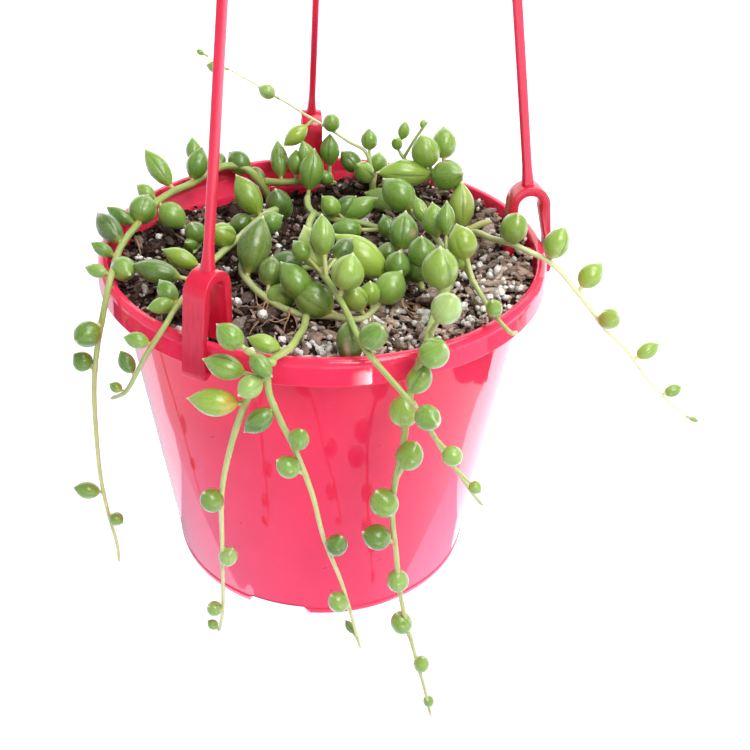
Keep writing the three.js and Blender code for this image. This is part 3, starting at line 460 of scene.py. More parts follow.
# Procedural materials. Each is a node tree on a principled shader.
class Nodes:
    """Short names for making and joining shader nodes."""

    def __init__(self, name):
        self.material = bpy.data.materials.new(name)
        self.material.use_nodes = True
        self.tree = self.material.node_tree
        self.tree.nodes.clear()
        self.shader = self.node("ShaderNodeBsdfPrincipled")
        self.node("ShaderNodeOutputMaterial", {"Surface": self.shader.outputs[0]})
        self.coords = self.node("ShaderNodeTexCoord").outputs["Object"]

    def put(self, socket, value):
        if hasattr(value, "is_linked"):
            self.tree.links.new(value, socket)
        else:
            socket.default_value = value

    def node(self, kind, inputs={}, **settings):
        """A new node: its settings, and its inputs by name or number, each a value or a socket."""
        node = self.tree.nodes.new(kind)
        for name, value in settings.items():
            setattr(node, name, value)
        for key, value in inputs.items():
            self.put(node.inputs[key], value)
        return node

    def set(self, **values):
        for name, value in values.items():
            self.put(self.shader.inputs[name.replace("_", " ")], value)

    def soft(self, weight, radius):
        """Light that spreads under the surface."""
        self.set(Subsurface_Weight=weight, Subsurface_Radius=radius, Subsurface_Scale=1.0)

    def noise(self, scale, detail, rough, coords=None):
        inputs = {"Scale": scale, "Detail": detail, "Roughness": rough, "Vector": coords or self.coords}
        return self.node("ShaderNodeTexNoise", inputs).outputs["Fac"]

    def cells(self, scale):
        inputs = {"Scale": scale, "Vector": self.coords}
        return self.node("ShaderNodeTexVoronoi", inputs).outputs["Distance"]

    def stretch(self, scale, turn=(0, 0, 0)):
        inputs = {"Scale": scale, "Rotation": turn, "Vector": self.coords}
        return self.node("ShaderNodeMapping", inputs).outputs["Vector"]

    def ramp(self, value, *stops):
        node = self.node("ShaderNodeValToRGB", {"Fac": value})
        elements = node.color_ramp.elements
        while len(elements) < len(stops):
            elements.new(0.5)
        for element, (position, colour) in zip(elements, stops):
            element.position = position
            element.color = (*colour, 1.0)
        return node.outputs["Color"]

    def spread(self, value, low, high, top=1.0, bottom=0.0):
        """Bottom where the value is at low, rising or falling to top where it is at high."""
        inputs = {"Value": value, "From Min": low, "From Max": high, "To Min": bottom, "To Max": top}
        return self.node("ShaderNodeMapRange", inputs).outputs["Result"]

    def patches(self, scale, detail, rough, low, high, top=1.0, bottom=0.0):
        """Noise, spread as above."""
        return self.spread(self.noise(scale, detail, rough), low, high, top, bottom)

    def mix(self, factor, a, b, mode="MIX"):
        a, b = (value if hasattr(value, "is_linked") else (*value, 1.0) for value in (a, b))
        inputs = {0: factor, 6: a, 7: b}
        return self.node("ShaderNodeMix", inputs, data_type="RGBA", blend_type=mode).outputs[2]

    def tint(self, colour, amount, share, other):
        """Draws a colour part of the way to another, by an amount that varies over the surface."""
        return self.mix(amount, colour, self.mix(share, colour, other))

    def maths(self, operation, a, b=0.0):
        return self.node("ShaderNodeMath", {0: a, 1: b}, operation=operation).outputs[0]

    def times(self, a, b):
        return self.maths("MULTIPLY", a, b)

    def split(self):
        return self.node("ShaderNodeSeparateXYZ", {0: self.coords}).outputs

    def squared_distance(self):
        """The square of the distance from the vertical axis."""
        x, y, _ = self.split()
        return self.maths("ADD", self.times(x, x), self.times(y, y))

    def attribute(self, name):
        node = self.node("ShaderNodeAttribute", attribute_name=name)
        parts = self.node("ShaderNodeSeparateColor", {0: node.outputs["Color"]}).outputs
        return parts[0], parts[1], parts[2], node.outputs["Alpha"]

    def lines(self, detail, rough, x, y, z):
        """Noise that is drawn out along a leaf or a stem."""
        coords = self.node("ShaderNodeCombineXYZ", {0: x, 1: y, 2: z}).outputs[0]
        return self.noise(1.0, detail, rough, coords)

    def finish(self, colour, roughness, specular, *layers):
        """The material with its main values and with bump layers of (height, strength, distance), each
        on top of the one before."""
        under = {}
        for height, strength, distance in layers:
            bump = {"Strength": strength, "Distance": distance, "Height": height}
            under = {"Normal": self.node("ShaderNodeBump", {**bump, **under}).outputs[0]}
        self.set(Base_Color=colour, Roughness=roughness, Specular_IOR_Level=specular, **under)
        return self.material


def red_plastic(name, base, deep, roughness, ribs=False):
    """Glossy moulded plastic with a slight mottle, fine scratches and a few specks."""
    n = Nodes(name)
    colour = n.mix(n.patches(55, 3, 0.5, 0.3, 0.7), deep, base)
    specks = n.times(n.patches(420, 2, 0.4, 0.735, 0.76), n.patches(26, 1, 0.4, 0.52, 0.56))
    colour = n.mix(specks, colour, (0.16, 0.004, 0.014))
    streaks = n.noise(1, 2, 0.5, n.stretch((900, 900, 14), (0.1, 0.3, 0)))
    scratches = n.times(n.spread(streaks, 0.7, 0.74), n.patches(40, 2, 0.5, 0.5, 0.62))
    uneven = n.patches(140, 4, 0.6, 0.3, 0.7, roughness * 1.2, roughness * 0.85)
    layers = [(n.noise(500, 3, 0.5), 0.014, 0.0004), (scratches, 0.12, 0.0003)]
    if ribs:
        # fine upright tool marks on the clips, which fade out into the arms
        height = n.split()[2]
        low = n.spread(height, (CLIP_SPRING + 6 - RIM_DROP) / 1000, (CLIP_SPRING - 4 - RIM_DROP) / 1000)
        marks = n.noise(1, 3, 0.6, n.stretch((1500, 1500, 4)))
        layers.append((n.times(marks, low), 0.22, 0.0005))
        colour = n.mix(n.times(low, n.spread(marks, 0.45, 0.65, 0.4)), colour, (0.46, 0.003, 0.024))
        n.set(Coat_Weight=0.15, Coat_Roughness=0.25)
    n.set(IOR=1.49)
    n.soft(0.12, (0.004, 0.0006, 0.0008))
    return n.finish(colour, n.maths("ADD", uneven, n.times(scratches, 0.15)), 0.5, *layers)


def leaf_material():
    """Waxy leaf. Tones hold the place from base to tip, the nearness to the slit, how pale the leaf is
    and how yellow; marks hold the way round from the slit, scars, a number of the leaf's own and how
    orange its base is."""
    n = Nodes("waxy_leaf")
    along, slit, tone, yellow = n.attribute("tones")
    around, scar, own, ripe = n.attribute("marks")
    green = n.ramp(tone, (0.0, (0.03, 0.09, 0.006)), (0.3, (0.098, 0.235, 0.014)),
                   (0.65, (0.225, 0.395, 0.052)), (1.0, (0.4, 0.55, 0.18)))
    colour = n.mix(yellow, green, (0.42, 0.55, 0.035))
    colour = n.tint(colour, n.patches(210, 5, 0.6, 0.35, 0.72, 0.5), 0.5, (0.32, 0.5, 0.13))
    # fine lengthwise streaks, and paler flesh on the side of the slit
    lines = n.lines(3, 0.55, n.times(around, 26), n.times(along, 1.3), n.times(own, 50))
    strong = n.patches(30, 2, 0.5, 0.35, 0.65, 1.0, 0.3)
    colour = n.tint(colour, n.times(n.spread(lines, 0.42, 0.68, 0.24), strong), 0.6, (0.4, 0.55, 0.2))
    colour = n.tint(colour, n.times(n.spread(lines, 0.52, 0.34, 0.26), strong), 0.65, (0.03, 0.08, 0.01))
    flesh = n.times(n.spread(around, 0.3, 0.04), n.patches(60, 2, 0.5, 0.35, 0.7, 0.5, 0.1))
    colour = n.tint(colour, flesh, 0.6, (0.4, 0.52, 0.14))
    colour = n.mix(n.patches(1400, 3, 0.6, 0.56, 0.72, 0.25), colour, (0.46, 0.55, 0.3))
    # the slit, a see-through darker line from the stalk to the tip, then the base, the tip and scars
    dark = n.times(n.spread(slit, 0.5, 0.98), n.spread(own, 0.35, 0.95, 0.65))
    colour = n.mix(dark, colour, (0.035, 0.1, 0.015))
    colour = n.mix(n.spread(along, 0.12, 0.0, 0.75), colour, (0.5, 0.45, 0.08))
    colour = n.mix(n.times(ripe, n.spread(along, 0.4, 0.05, 0.75)), colour, (0.78, 0.42, 0.03))
    colour = n.mix(n.spread(along, 0.92, 0.985, 0.95), colour, (0.78, 0.74, 0.52))
    colour = n.mix(scar, colour, n.mix(n.noise(900, 3, 0.6), (0.52, 0.4, 0.26), (0.3, 0.19, 0.11)))
    n.set(IOR=1.45, Coat_Weight=0.42, Coat_Roughness=0.2)
    n.set(Sheen_Weight=0.25, Sheen_Roughness=0.3, Sheen_Tint=(0.85, 1.0, 0.72, 1))
    n.soft(0.35, (0.0016, 0.003, 0.0006))
    return n.finish(colour, n.patches(420, 4, 0.6, 0.3, 0.7, 0.38, 0.24), 0.62,
                    (n.noise(1500, 4, 0.6), 0.05, 0.0003), (lines, 0.06, 0.0004),
                    (n.noise(230, 3, 0.5), 0.12, 0.0008), (n.spread(slit, 0.5, 1.0, 0.0, 1.0), 0.3, 0.0005))


def stem_material():
    """Pale yellow-green stem with fine lengthwise streaks and a warm tint at the joints. Tones hold the
    nearness to a joint and to the tip, how pale the stem is and how washed out, which near the root is
    painted light; marks hold the way round, a number of the shoot's own and the distance along it."""
    n = Nodes("green_stem")
    joint, young, tone, washed = n.attribute("tones")
    around, _, own, length = n.attribute("marks")
    colour = n.mix(tone, (0.25, 0.39, 0.075), (0.62, 0.64, 0.25))
    colour = n.tint(colour, n.patches(420, 5, 0.65, 0.4, 0.7, 0.5), 0.5, (0.24, 0.37, 0.06))
    colour = n.mix(n.patches(90, 3, 0.5, 0.55, 0.75, 0.4), colour, (0.62, 0.62, 0.26))
    colour = n.mix(n.times(joint, n.patches(120, 2, 0.5, 0.4, 0.65)), colour, (0.48, 0.24, 0.06))
    colour = n.mix(n.times(young, 0.35), colour, (0.5, 0.5, 0.27))
    lines = n.lines(3, 0.6, n.times(around, 9), n.times(length, 1.5), own)
    colour = n.tint(colour, n.spread(lines, 0.48, 0.36, 0.45), 0.6, (0.16, 0.26, 0.05))
    colour = n.tint(colour, n.spread(lines, 0.52, 0.66, 0.4), 0.6, (0.72, 0.74, 0.4))
    # paler green: washed out at the far end, and near the root painted light for stems in the leaves' shade
    colour = n.mix(washed, colour, (0.78, 0.86, 0.52))
    n.set(Coat_Weight=0.1, Coat_Roughness=0.3)
    n.soft(0.25, (0.0012, 0.0016, 0.0004))
    roughness = n.patches(500, 4, 0.6, 0.3, 0.7, 0.58, 0.38)
    return n.finish(colour, roughness, 0.4, (n.noise(1100, 4, 0.6), 0.3, 0.0004))


def soil_material():
    """Dark peat and bark crumbs, darkened further in part as painted shade for the gaps between the chips.
    """
    n = Nodes("potting_mix")
    # the near-black lows are partly painted shade, for the gaps between the chips
    colour = n.ramp(n.noise(330, 8, 0.7), (0.3, (0.006, 0.003, 0.003)), (0.48, (0.022, 0.012, 0.01)),
                    (0.62, (0.09, 0.055, 0.042)), (0.78, (0.3, 0.21, 0.17)))
    colour = n.mix(n.spread(n.cells(260), 0.05, 0.3, 0.0, 0.25), colour, (0.12, 0.06, 0.045))
    return n.finish(colour, 0.9, 0.1, (n.noise(900, 8, 0.7), 0.9, 0.0012),
                    (n.noise(260, 4, 0.6), 0.8, 0.0025))


def bark_material():
    """Chips of bark: the tones hold each chip's shade, which towards the front right holds painted light
    too, and its warmth.
    """
    n = Nodes("bark_chips")
    shade, warm, _, _ = n.attribute("tones")
    dark = n.mix(warm, (0.012, 0.005, 0.004), (0.04, 0.015, 0.008))
    light = n.mix(warm, (0.86, 0.68, 0.59), (0.76, 0.53, 0.39))
    colour = n.mix(shade, dark, light)
    fibre = n.noise(1, 6, 0.7, n.stretch((350, 900, 500)))
    colour = n.tint(colour, n.spread(fibre, 0.35, 0.68, 0.8), 0.75, (0.02, 0.011, 0.009))
    colour = n.tint(colour, n.patches(1300, 3, 0.6, 0.6, 0.72, 0.5), 0.6, (0.72, 0.62, 0.54))
    return n.finish(colour, 0.8, 0.12, (fibre, 0.9, 0.0009), (n.noise(1300, 4, 0.6), 0.5, 0.0005))


def perlite_material():
    """White foamed grains, a little dirty in their hollows: the tones hold each grain's dirt."""
    n = Nodes("perlite")
    hollows = n.patches(700, 6, 0.7, 0.46, 0.7, 0.5)
    colour = n.mix(hollows, (0.99, 0.97, 0.93), (0.6, 0.52, 0.44))
    colour = n.mix(n.times(n.attribute("tones")[0], 0.5), colour, (0.33, 0.25, 0.19))
    n.soft(0.6, (0.001, 0.001, 0.001))
    return n.finish(colour, 0.85, 0.3, (n.cells(1300), 0.7, 0.0006), (n.noise(900, 5, 0.7), 0.6, 0.0007))


def root_material():
    """Thin brown-orange roots."""
    n = Nodes("dry_roots")
    colour = n.ramp(n.noise(500, 4, 0.6), (0.3, (0.2, 0.1, 0.045)), (0.55, (0.42, 0.25, 0.13)),
                    (0.75, (0.6, 0.42, 0.26)))
    return n.finish(colour, 0.7, 0.35, (n.noise(1500, 3, 0.6), 0.4, 0.0003))


POT_RED = red_plastic("pot_red_plastic", (0.92, 0.034, 0.104), (0.86, 0.029, 0.094), 0.034)
HANGER_RED = red_plastic("hanger_red_plastic", (0.78, 0.016, 0.062), (0.66, 0.01, 0.048), 0.2, ribs=True)
LEAF = leaf_material()
STEM = stem_material()
SOIL = soil_material()
BARK = bark_material()
PERLITE = perlite_material()
ROOTS = root_material()


def shade_by_angle(obj, degrees):
    """Smooth faces with sharp edges where the surface turns by more than the angle."""
    shape = bmesh.new()
    shape.from_mesh(obj.data)
    for face in shape.faces:
        face.smooth = True
    for edge in shape.edges:
        if len(edge.link_faces) == 2 and edge.calc_face_angle(0.0) > math.radians(degrees):
            edge.smooth = False
    shape.to_mesh(obj.data)
    shape.free()


def with_rings(profile, edge=0.25, short=3, step=8):
    """A profile with more corners: rings close to both ends of a face keep it flat in the light, and
    rings along a tall face keep the mesh even for notches and light."""
    full = []
    for a, b in zip(profile[:-1], profile[1:]):
        length, tall = math.dist(a, b), abs(a[1] - b[1])
        near = [edge / length] if length > short else []
        count = int(tall // step) if tall > 2 * step else 0
        for t in [0] + near + [k / (count + 1) for k in range(1, count + 1)] + [1 - t for t in near]:
            full.append((a[0] + (b[0] - a[0]) * t, a[1] + (b[1] - a[1]) * t))
    return full + [profile[-1]]


def make_pot():
    """Tapered cup with a rounded rim band, a notched foot ring and drain holes."""
    ledge = -RIM_BAND
    under = -POT_HEIGHT + FLOOR_LIFT
    foot = BASE_RADIUS - 1 - FOOT_RING
    profile = [
        (0, under), (foot - 0.3, under), (foot, -POT_HEIGHT - 0.4), (BASE_RADIUS - 0.2, -POT_HEIGHT - 0.4),
        (BASE_RADIUS + 0.25, -POT_HEIGHT + 1.7), (BASE_RADIUS - 0.05, -POT_HEIGHT + 2.2),
        (WALL_TOP_RADIUS, ledge - 0.2), (RIM_RADIUS - 0.2, ledge), (RIM_RADIUS - 0.5, -1.2),
        (RIM_RADIUS - 1.5, 0), (RIM_RADIUS - 3.5, 0), (RIM_INSIDE, RIM_LEDGE), (WALL_INSIDE, ledge - WALL),
        (BASE_RADIUS - 1.6, under + WALL), (0, under + WALL),
    ]
    radii = {2: 0.4, 3: 0.45, 4: 0.3, 5: 0.25, 6: 0.5, 7: 0.35, 8: 0.8, 9: 0.9, 10: 0.6, 11: 0.6,
             12: 0.9, 13: 2.5}
    verts, faces = lathe(with_rings(rounded(profile, radii)), POT_SIDES)
    azimuth = np.degrees(np.arctan2(verts[:, 1], verts[:, 0])) % 360
    for centre in NOTCH_AZIMUTHS:
        near = np.abs((azimuth - centre + 180) % 360 - 180) < math.degrees(NOTCH_LENGTH / 2 / BASE_RADIUS)
        verts[near & (verts[:, 2] < under - 0.3), 2] = under - 0.3
    pot = build("pot_finish", verts, faces, POT_RED, "pot_plastic", ("pot",))
    drains = Shape()
    for i in range(6):
        a = math.radians(NOTCH_AZIMUTHS[0] + 60 * i)
        ends = np.array([polar(DRAIN_CIRCLE, a, under - 3), polar(DRAIN_CIRCLE, a, under + 4)])
        drains.add(*tube(ends, DRAIN_RADIUS, 32, (1, 0, 0)))
    cutter = mesh_object("drain_cutter", np.vstack(drains.verts), drains.faces)
    cut = pot.modifiers.new("drains", "BOOLEAN")
    cut.operation = "DIFFERENCE"
    cut.solver = "EXACT"
    cut.object = cutter
    finished = pot.evaluated_get(bpy.context.evaluated_depsgraph_get())
    mesh = bpy.data.meshes.new_from_object(finished)
    pot.modifiers.clear()
    pot.data = mesh
    bpy.data.objects.remove(cutter)
    shade_by_angle(pot, 35)


def turn(points, degrees):
    """Points turned round the vertical axis."""
    a = math.radians(degrees)
    x, y, z = np.asarray(points, float).T
    return np.stack([x * math.cos(a) - y * math.sin(a), x * math.sin(a) + y * math.cos(a), z], 1)


def clip_outline(steps=24):
    """The clip seen from the side, as (radius, height), anticlockwise."""
    def arch(radius, turns):
        return [(CLIP_CENTRE + radius * math.cos(a), CLIP_SPRING + radius * math.sin(a)) for a in turns]
    rising = [math.pi * k / steps for k in range(steps + 1)]
    outer = RIM_RADIUS + 0.45
    return [(CLIP_CENTRE - CLIP_OUTER + 0.2, -4)] + arch(CLIP_OUTER, rising[::-1]) + [
        (RIM_RADIUS + 1.2, 3), (RIM_RADIUS + 2.6, -RIM_BAND), (RIM_RADIUS + 2.3, -RIM_BAND - 2),
        (RIM_RADIUS + 0.2, -RIM_BAND - 2.4), (RIM_RADIUS - 1.6, -RIM_BAND - 1.4),
        (RIM_RADIUS - 1.6, -RIM_BAND - 0.3), (outer, -RIM_BAND - 0.3), (outer, -RIM_BAND + 0.7),
        (RIM_RADIUS - 0.2, 0.3), (CLIP_CENTRE + CLIP_INNER, CLIP_SPRING - 2),
    ] + arch(CLIP_INNER, rising) + [(CLIP_CENTRE - CLIP_INNER + 0.2, -4)]


def make_arm(side, azimuth, bow, sway):
    """One arm of the hanger with its clip."""
    outline = clip_outline()
    count = len(outline)
    faces = [tuple(reversed(range(count))), tuple(range(count, 2 * count))]
    faces += [(i, (i + 1) % count, count + (i + 1) % count, count + i) for i in range(count)]
    shape = bmesh.new()
    made = [shape.verts.new((r, y, z)) for y in (-CLIP_WIDTH / 2, CLIP_WIDTH / 2) for r, z in outline]
    for f in faces:
        shape.faces.new([made[i] for i in f])
    bmesh.ops.recalc_face_normals(shape, faces=shape.faces)
    edges = [e for e in shape.edges if e.calc_face_angle(0.0) > math.radians(30)]
    bmesh.ops.bevel(shape, geom=edges, offset=0.32, segments=3, profile=0.5, affect="EDGES",
                    clamp_overlap=True)
    bmesh.ops.triangulate(shape, faces=[f for f in shape.faces if len(f.verts) > 4])
    shape.verts.index_update()
    whole = Shape()
    verts = turn([v.co[:] for v in shape.verts], azimuth)
    whole.add(verts, [[v.index for v in f.verts] for f in shape.faces])
    shape.free()
    a = math.radians(azimuth)
    outward = np.array((math.cos(a), math.sin(a), 0))
    sideways = np.array((-math.sin(a), math.cos(a), 0))
    foot = outward * (CLIP_CENTRE - 0.6) + (0, 0, ARM_FOOT)
    top = outward * (HUB_RADIUS - 4) + (0, 0, HUB_HEIGHT + SOCKET_DEPTH)
    middle = (foot + top) / 2 + outward * bow + sideways * sway
    t = np.linspace(0, 1, 90)[:, None]
    line = (1 - t) ** 2 * foot + 2 * t * (1 - t) * middle + t * t * top
    # a rounded bar with a flat outer face, flared where it grows out of the clip
    across, out = frames(line, sideways)
    angles = 2 * math.pi * np.arange(BAR_SIDES) / BAR_SIDES
    x, y = (np.copysign(np.abs(c) ** 0.62, c)[None, :, None] for c in (np.cos(angles), np.sin(angles)))
    flare = 0.1 + 0.75 * np.exp(-(((line[:, 2] - ARM_FOOT) / 3.6) ** 2))[:, None, None]
    ring = (line[:, None, :] + across[:, None, :] * x * ARM_TANGENTIAL * (1 + flare)
            + out[:, None, :] * y * ARM_RADIAL * (1 + flare * 0.55))
    whole.add(ring.reshape(-1, 3), tube_faces(len(line), BAR_SIDES))
    name = "hanger_arm_" + side
    shade_by_angle(whole.build(name + "_finish", HANGER_RED, "hanger_plastic", (name,)), 32)


def make_hook():
    """Hub and hook."""
    top = HUB_HEIGHT + HUB_THICKNESS
    profile = [
        (0, HUB_HEIGHT), (HUB_RADIUS - 1, HUB_HEIGHT), (HUB_RADIUS, HUB_HEIGHT + 1),
        (HUB_RADIUS, top - 3), (HUB_RADIUS - 2, top), (0, top),
    ]
    whole = Shape()
    whole.add(*lathe(rounded(profile, {1: 0.8, 2: 0.8, 3: 1.6, 4: 1.2}), HUB_SIDES))
    points = [(0, 0, top - 3), (0, 0, top + 2), (-HOOK_RADIUS * 0.55, 0, top + 8)]
    for a in np.radians(np.linspace(205, -50, 13)):
        points.append((HOOK_RADIUS * math.cos(a), 0, HOOK_CENTRE + HOOK_RADIUS * math.sin(a)))
    line, marks = spline(points, 1.0)
    radii = HOOK_HALF * (1 - 0.15 * marks / marks[-1])
    radii[-3:] *= (0.97, 0.86, 0.6)
    whole.add(*tube(line, radii, BAR_SIDES, (0, 1, 0)))
    shade_by_angle(whole.build("hanger_hook_finish", HANGER_RED, "hanger_plastic", ("hanger_hook",)), 40)


def soil_level(x, y):
    """Level of the potting mix, as in the part's source."""
    reach = math.hypot(x, y) / WALL_TOP_RADIUS
    tilt = math.cos(math.atan2(y, x) - math.radians(125)) * reach
    lumps = math.sin(x * 0.61 + 1.3) * math.cos(y * 0.53 - 0.4) + 0.6 * math.sin(x * 0.23 - y * 0.31)
    return -7.2 - 0.6 * reach ** 2 - 4.5 * max(0, tilt) + 0.7 * lumps


def share(value, start, end):
    """0 at the start, 1 at the end, and in between on the way."""
    return np.clip((value - start) / (end - start), 0, 1)


def heap(x, y):
    """How much higher the loose mix lies against the wall at the right and, less, at the left."""
    azimuth = math.degrees(math.atan2(y, x)) % 360
    right = share(azimuth, *RIGHT_HEAP[azimuth <= 180])
    left = share(azimuth, *LEFT_HEAP[0]) * share(azimuth, *LEFT_HEAP[1])
    higher = max((RIGHT_LEVEL - soil_level(x, y)) * right, LEFT_HEIGHT * left)
    return share(math.hypot(x, y), *HEAP_REACH) ** 1.3 * higher


def surface(x, y):
    """Level of the loose mix."""
    return soil_level(x, y) + heap(x, y)


def inner_radius(height):
    """The pot's inner radius near its top, where it widens into the rim."""
    return float(np.interp(height, (-RIM_BAND - WALL, RIM_LEDGE), (WALL_INSIDE, RIM_INSIDE)))


def room(x, y):
    """How far a place on the mix is from the pot's inner side."""
    return inner_radius(surface(x, y)) - math.hypot(x, y)


def perlite_and_painted_light_side(x, y):
    """1 at the front right, where the mix is fuller of perlite and its chips paler, partly as painted light
    for the brighter light there, and 0 at the back left.
    """
    return float(np.clip(0.5 + (0.75 * x - 0.65 * y) / 80, 0, 1))


def rough(x, y):
    """Small repeatable unevenness between -1 and 1."""
    rng = np.random.default_rng(5)
    total = 0.0
    for k in range(10):
        f = 0.35 * 1.35 ** k
        a = rng.uniform(0, 2 * math.pi)
        total += math.sin(f * (x * math.cos(a) + y * math.sin(a)) + rng.uniform(0, 6.28)) / (1 + 0.35 * k)
    return total / 3.0


def make_soil():
    """The body of the mix, with a crumbly top."""
    def top(x, y):
        return soil_level(x, y) + 0.8 * heap(x, y)
    floor = -POT_HEIGHT + FLOOR_LIFT + WALL + 0.3
    turns = 2 * math.pi * np.arange(SOIL_SIDES) / SOIL_SIDES
    brims = [(a, top(*polar(WALL_INSIDE, a))) for a in turns]
    verts = [(0, 0, floor)]
    for radius, height in ((BASE_RADIUS - 4, floor), (BASE_RADIUS - 1.9, floor + 3)):
        verts += [polar(radius, a, height) for a in turns]
    verts += [polar(WALL_INSIDE - 0.6, a, min(-RIM_BAND - 2.4, brim - 1.2)) for a, brim in brims]
    for k in range(SOIL_RINGS):
        for a, brim in brims:
            edge = inner_radius(brim) - 0.55
            radius = edge * (1 - k / SOIL_RINGS)
            x, y = polar(radius, a)
            verts.append((x, y, top(x, y) + 0.75 * rough(x, y) * min(1, (edge - radius) / 2)))
    verts.append((0, 0, soil_level(0, 0)))
    build("soil_finish", verts, turned_faces(SOIL_RINGS + 3, SOIL_SIDES), SOIL, "potting_mix", ("soil",))


def lump(rng, size, stretch, facets, jag):
    """A small uneven lump about size across, turned at random."""
    shape = bmesh.new()
    bmesh.ops.create_icosphere(shape, subdivisions=facets, radius=0.5)
    verts = np.array([v.co[:] for v in shape.verts])
    faces = [[v.index for v in f.verts] for f in shape.faces]
    shape.free()
    verts = verts * (1 + rng.uniform(-jag, jag, (len(verts), 1))) * size * stretch
    turned = Matrix.Rotation(rng.uniform(0, 6.28), 3, "Z")
    for axis in "XY":
        turned = turned @ Matrix.Rotation(rng.normal(0, 0.45), 3, axis)
    return verts @ np.array(turned).T, faces


def spot(rng, lean):
    """A place on the mix, likelier where lean is larger."""
    while True:
        x, y = rng.uniform(-RIM_RADIUS, RIM_RADIUS, 2)
        if room(x, y) >= 0.5 and (lean is None or rng.uniform() < lean(x, y)):
            return x, y


def make_perlite(rng):
    """White grains, sunk a little into the mix."""
    grains = list(LARGE_GRAINS)
    for x, y in GRAIN_PATCHES:
        for _ in range(8):
            spread = rng.normal(0, 2.2), rng.normal(0, 1.8)
            grains.append((x + spread[0], y + spread[1], np.clip(rng.lognormal(0.35, 0.35), 0.7, 2.9)))
    for _ in range(430):
        x, y = spot(rng, lambda x, y: max(0.1, perlite_and_painted_light_side(x, y) ** 1.4))
        grains.append((x, y, np.clip(rng.lognormal(0.34, 0.45), 0.6, 3.3)))
    white = Shape()
    for x, y, size in grains:
        size = min(size, max(1.2, 2 * room(x, y)))
        verts, faces = lump(rng, size, rng.uniform(0.6, 1.15, 3), 2, 0.17)
        level = surface(x, y) + size * rng.uniform(0.05, 0.4) + 0.6
        white.add(verts + (x, y, level), faces, (rng.uniform() ** 3, 0, 0, 0))
    white.build("perlite", PERLITE, "potting_mix")


def make_bark(rng):
    """Splinters, chips and dark crumbs, sunk a little into the mix."""
    chips = Shape()
    for x, y, size, heading, shade in BARK_PIECES:
        verts, faces = lump(rng, size, (1.0, rng.uniform(0.16, 0.3), rng.uniform(0.12, 0.2)), 2, 0.2)
        verts = turn(verts, heading - math.degrees(math.atan2(verts[0][1], verts[0][0])))
        chips.add(verts + (x, y, surface(x, y) + 1.4), faces, (shade, rng.uniform(), 0, 0))
    for count, mean, spread_by, most, wide, thick, in_heaps in BARK_KINDS:
        for _ in range(count):
            x, y = spot(rng, (lambda x, y: heap(x, y) / 3) if in_heaps else None)
            size = min(np.clip(rng.lognormal(mean, spread_by), 0.5, most), max(1.3, 2.2 * room(x, y)))
            facets = 2 if size > FINE_CHIP else 1
            verts, faces = lump(rng, size, (1.0, rng.uniform(*wide), rng.uniform(*thick)), facets, 0.22)
            level = soil_level(x, y) + heap(x, y) * rng.uniform(0.2, 1.0) ** 0.5
            level += size * 0.1 * rng.uniform() + rng.uniform(0.1, 1.0)
            # chips grow paler towards the front right: partly their own colour, partly painted light for
            # the brighter light there
            light = perlite_and_painted_light_side(x, y)
            shade = rng.uniform() ** 3.2 * (0.7 + 0.3 * light) + light ** 2 * rng.uniform() ** 1.2
            chips.add(verts + (x, y, level), faces, (min(shade, 1), rng.uniform(), 0, 0))
    chips.build("bark_chips", BARK, "potting_mix", flat=True)


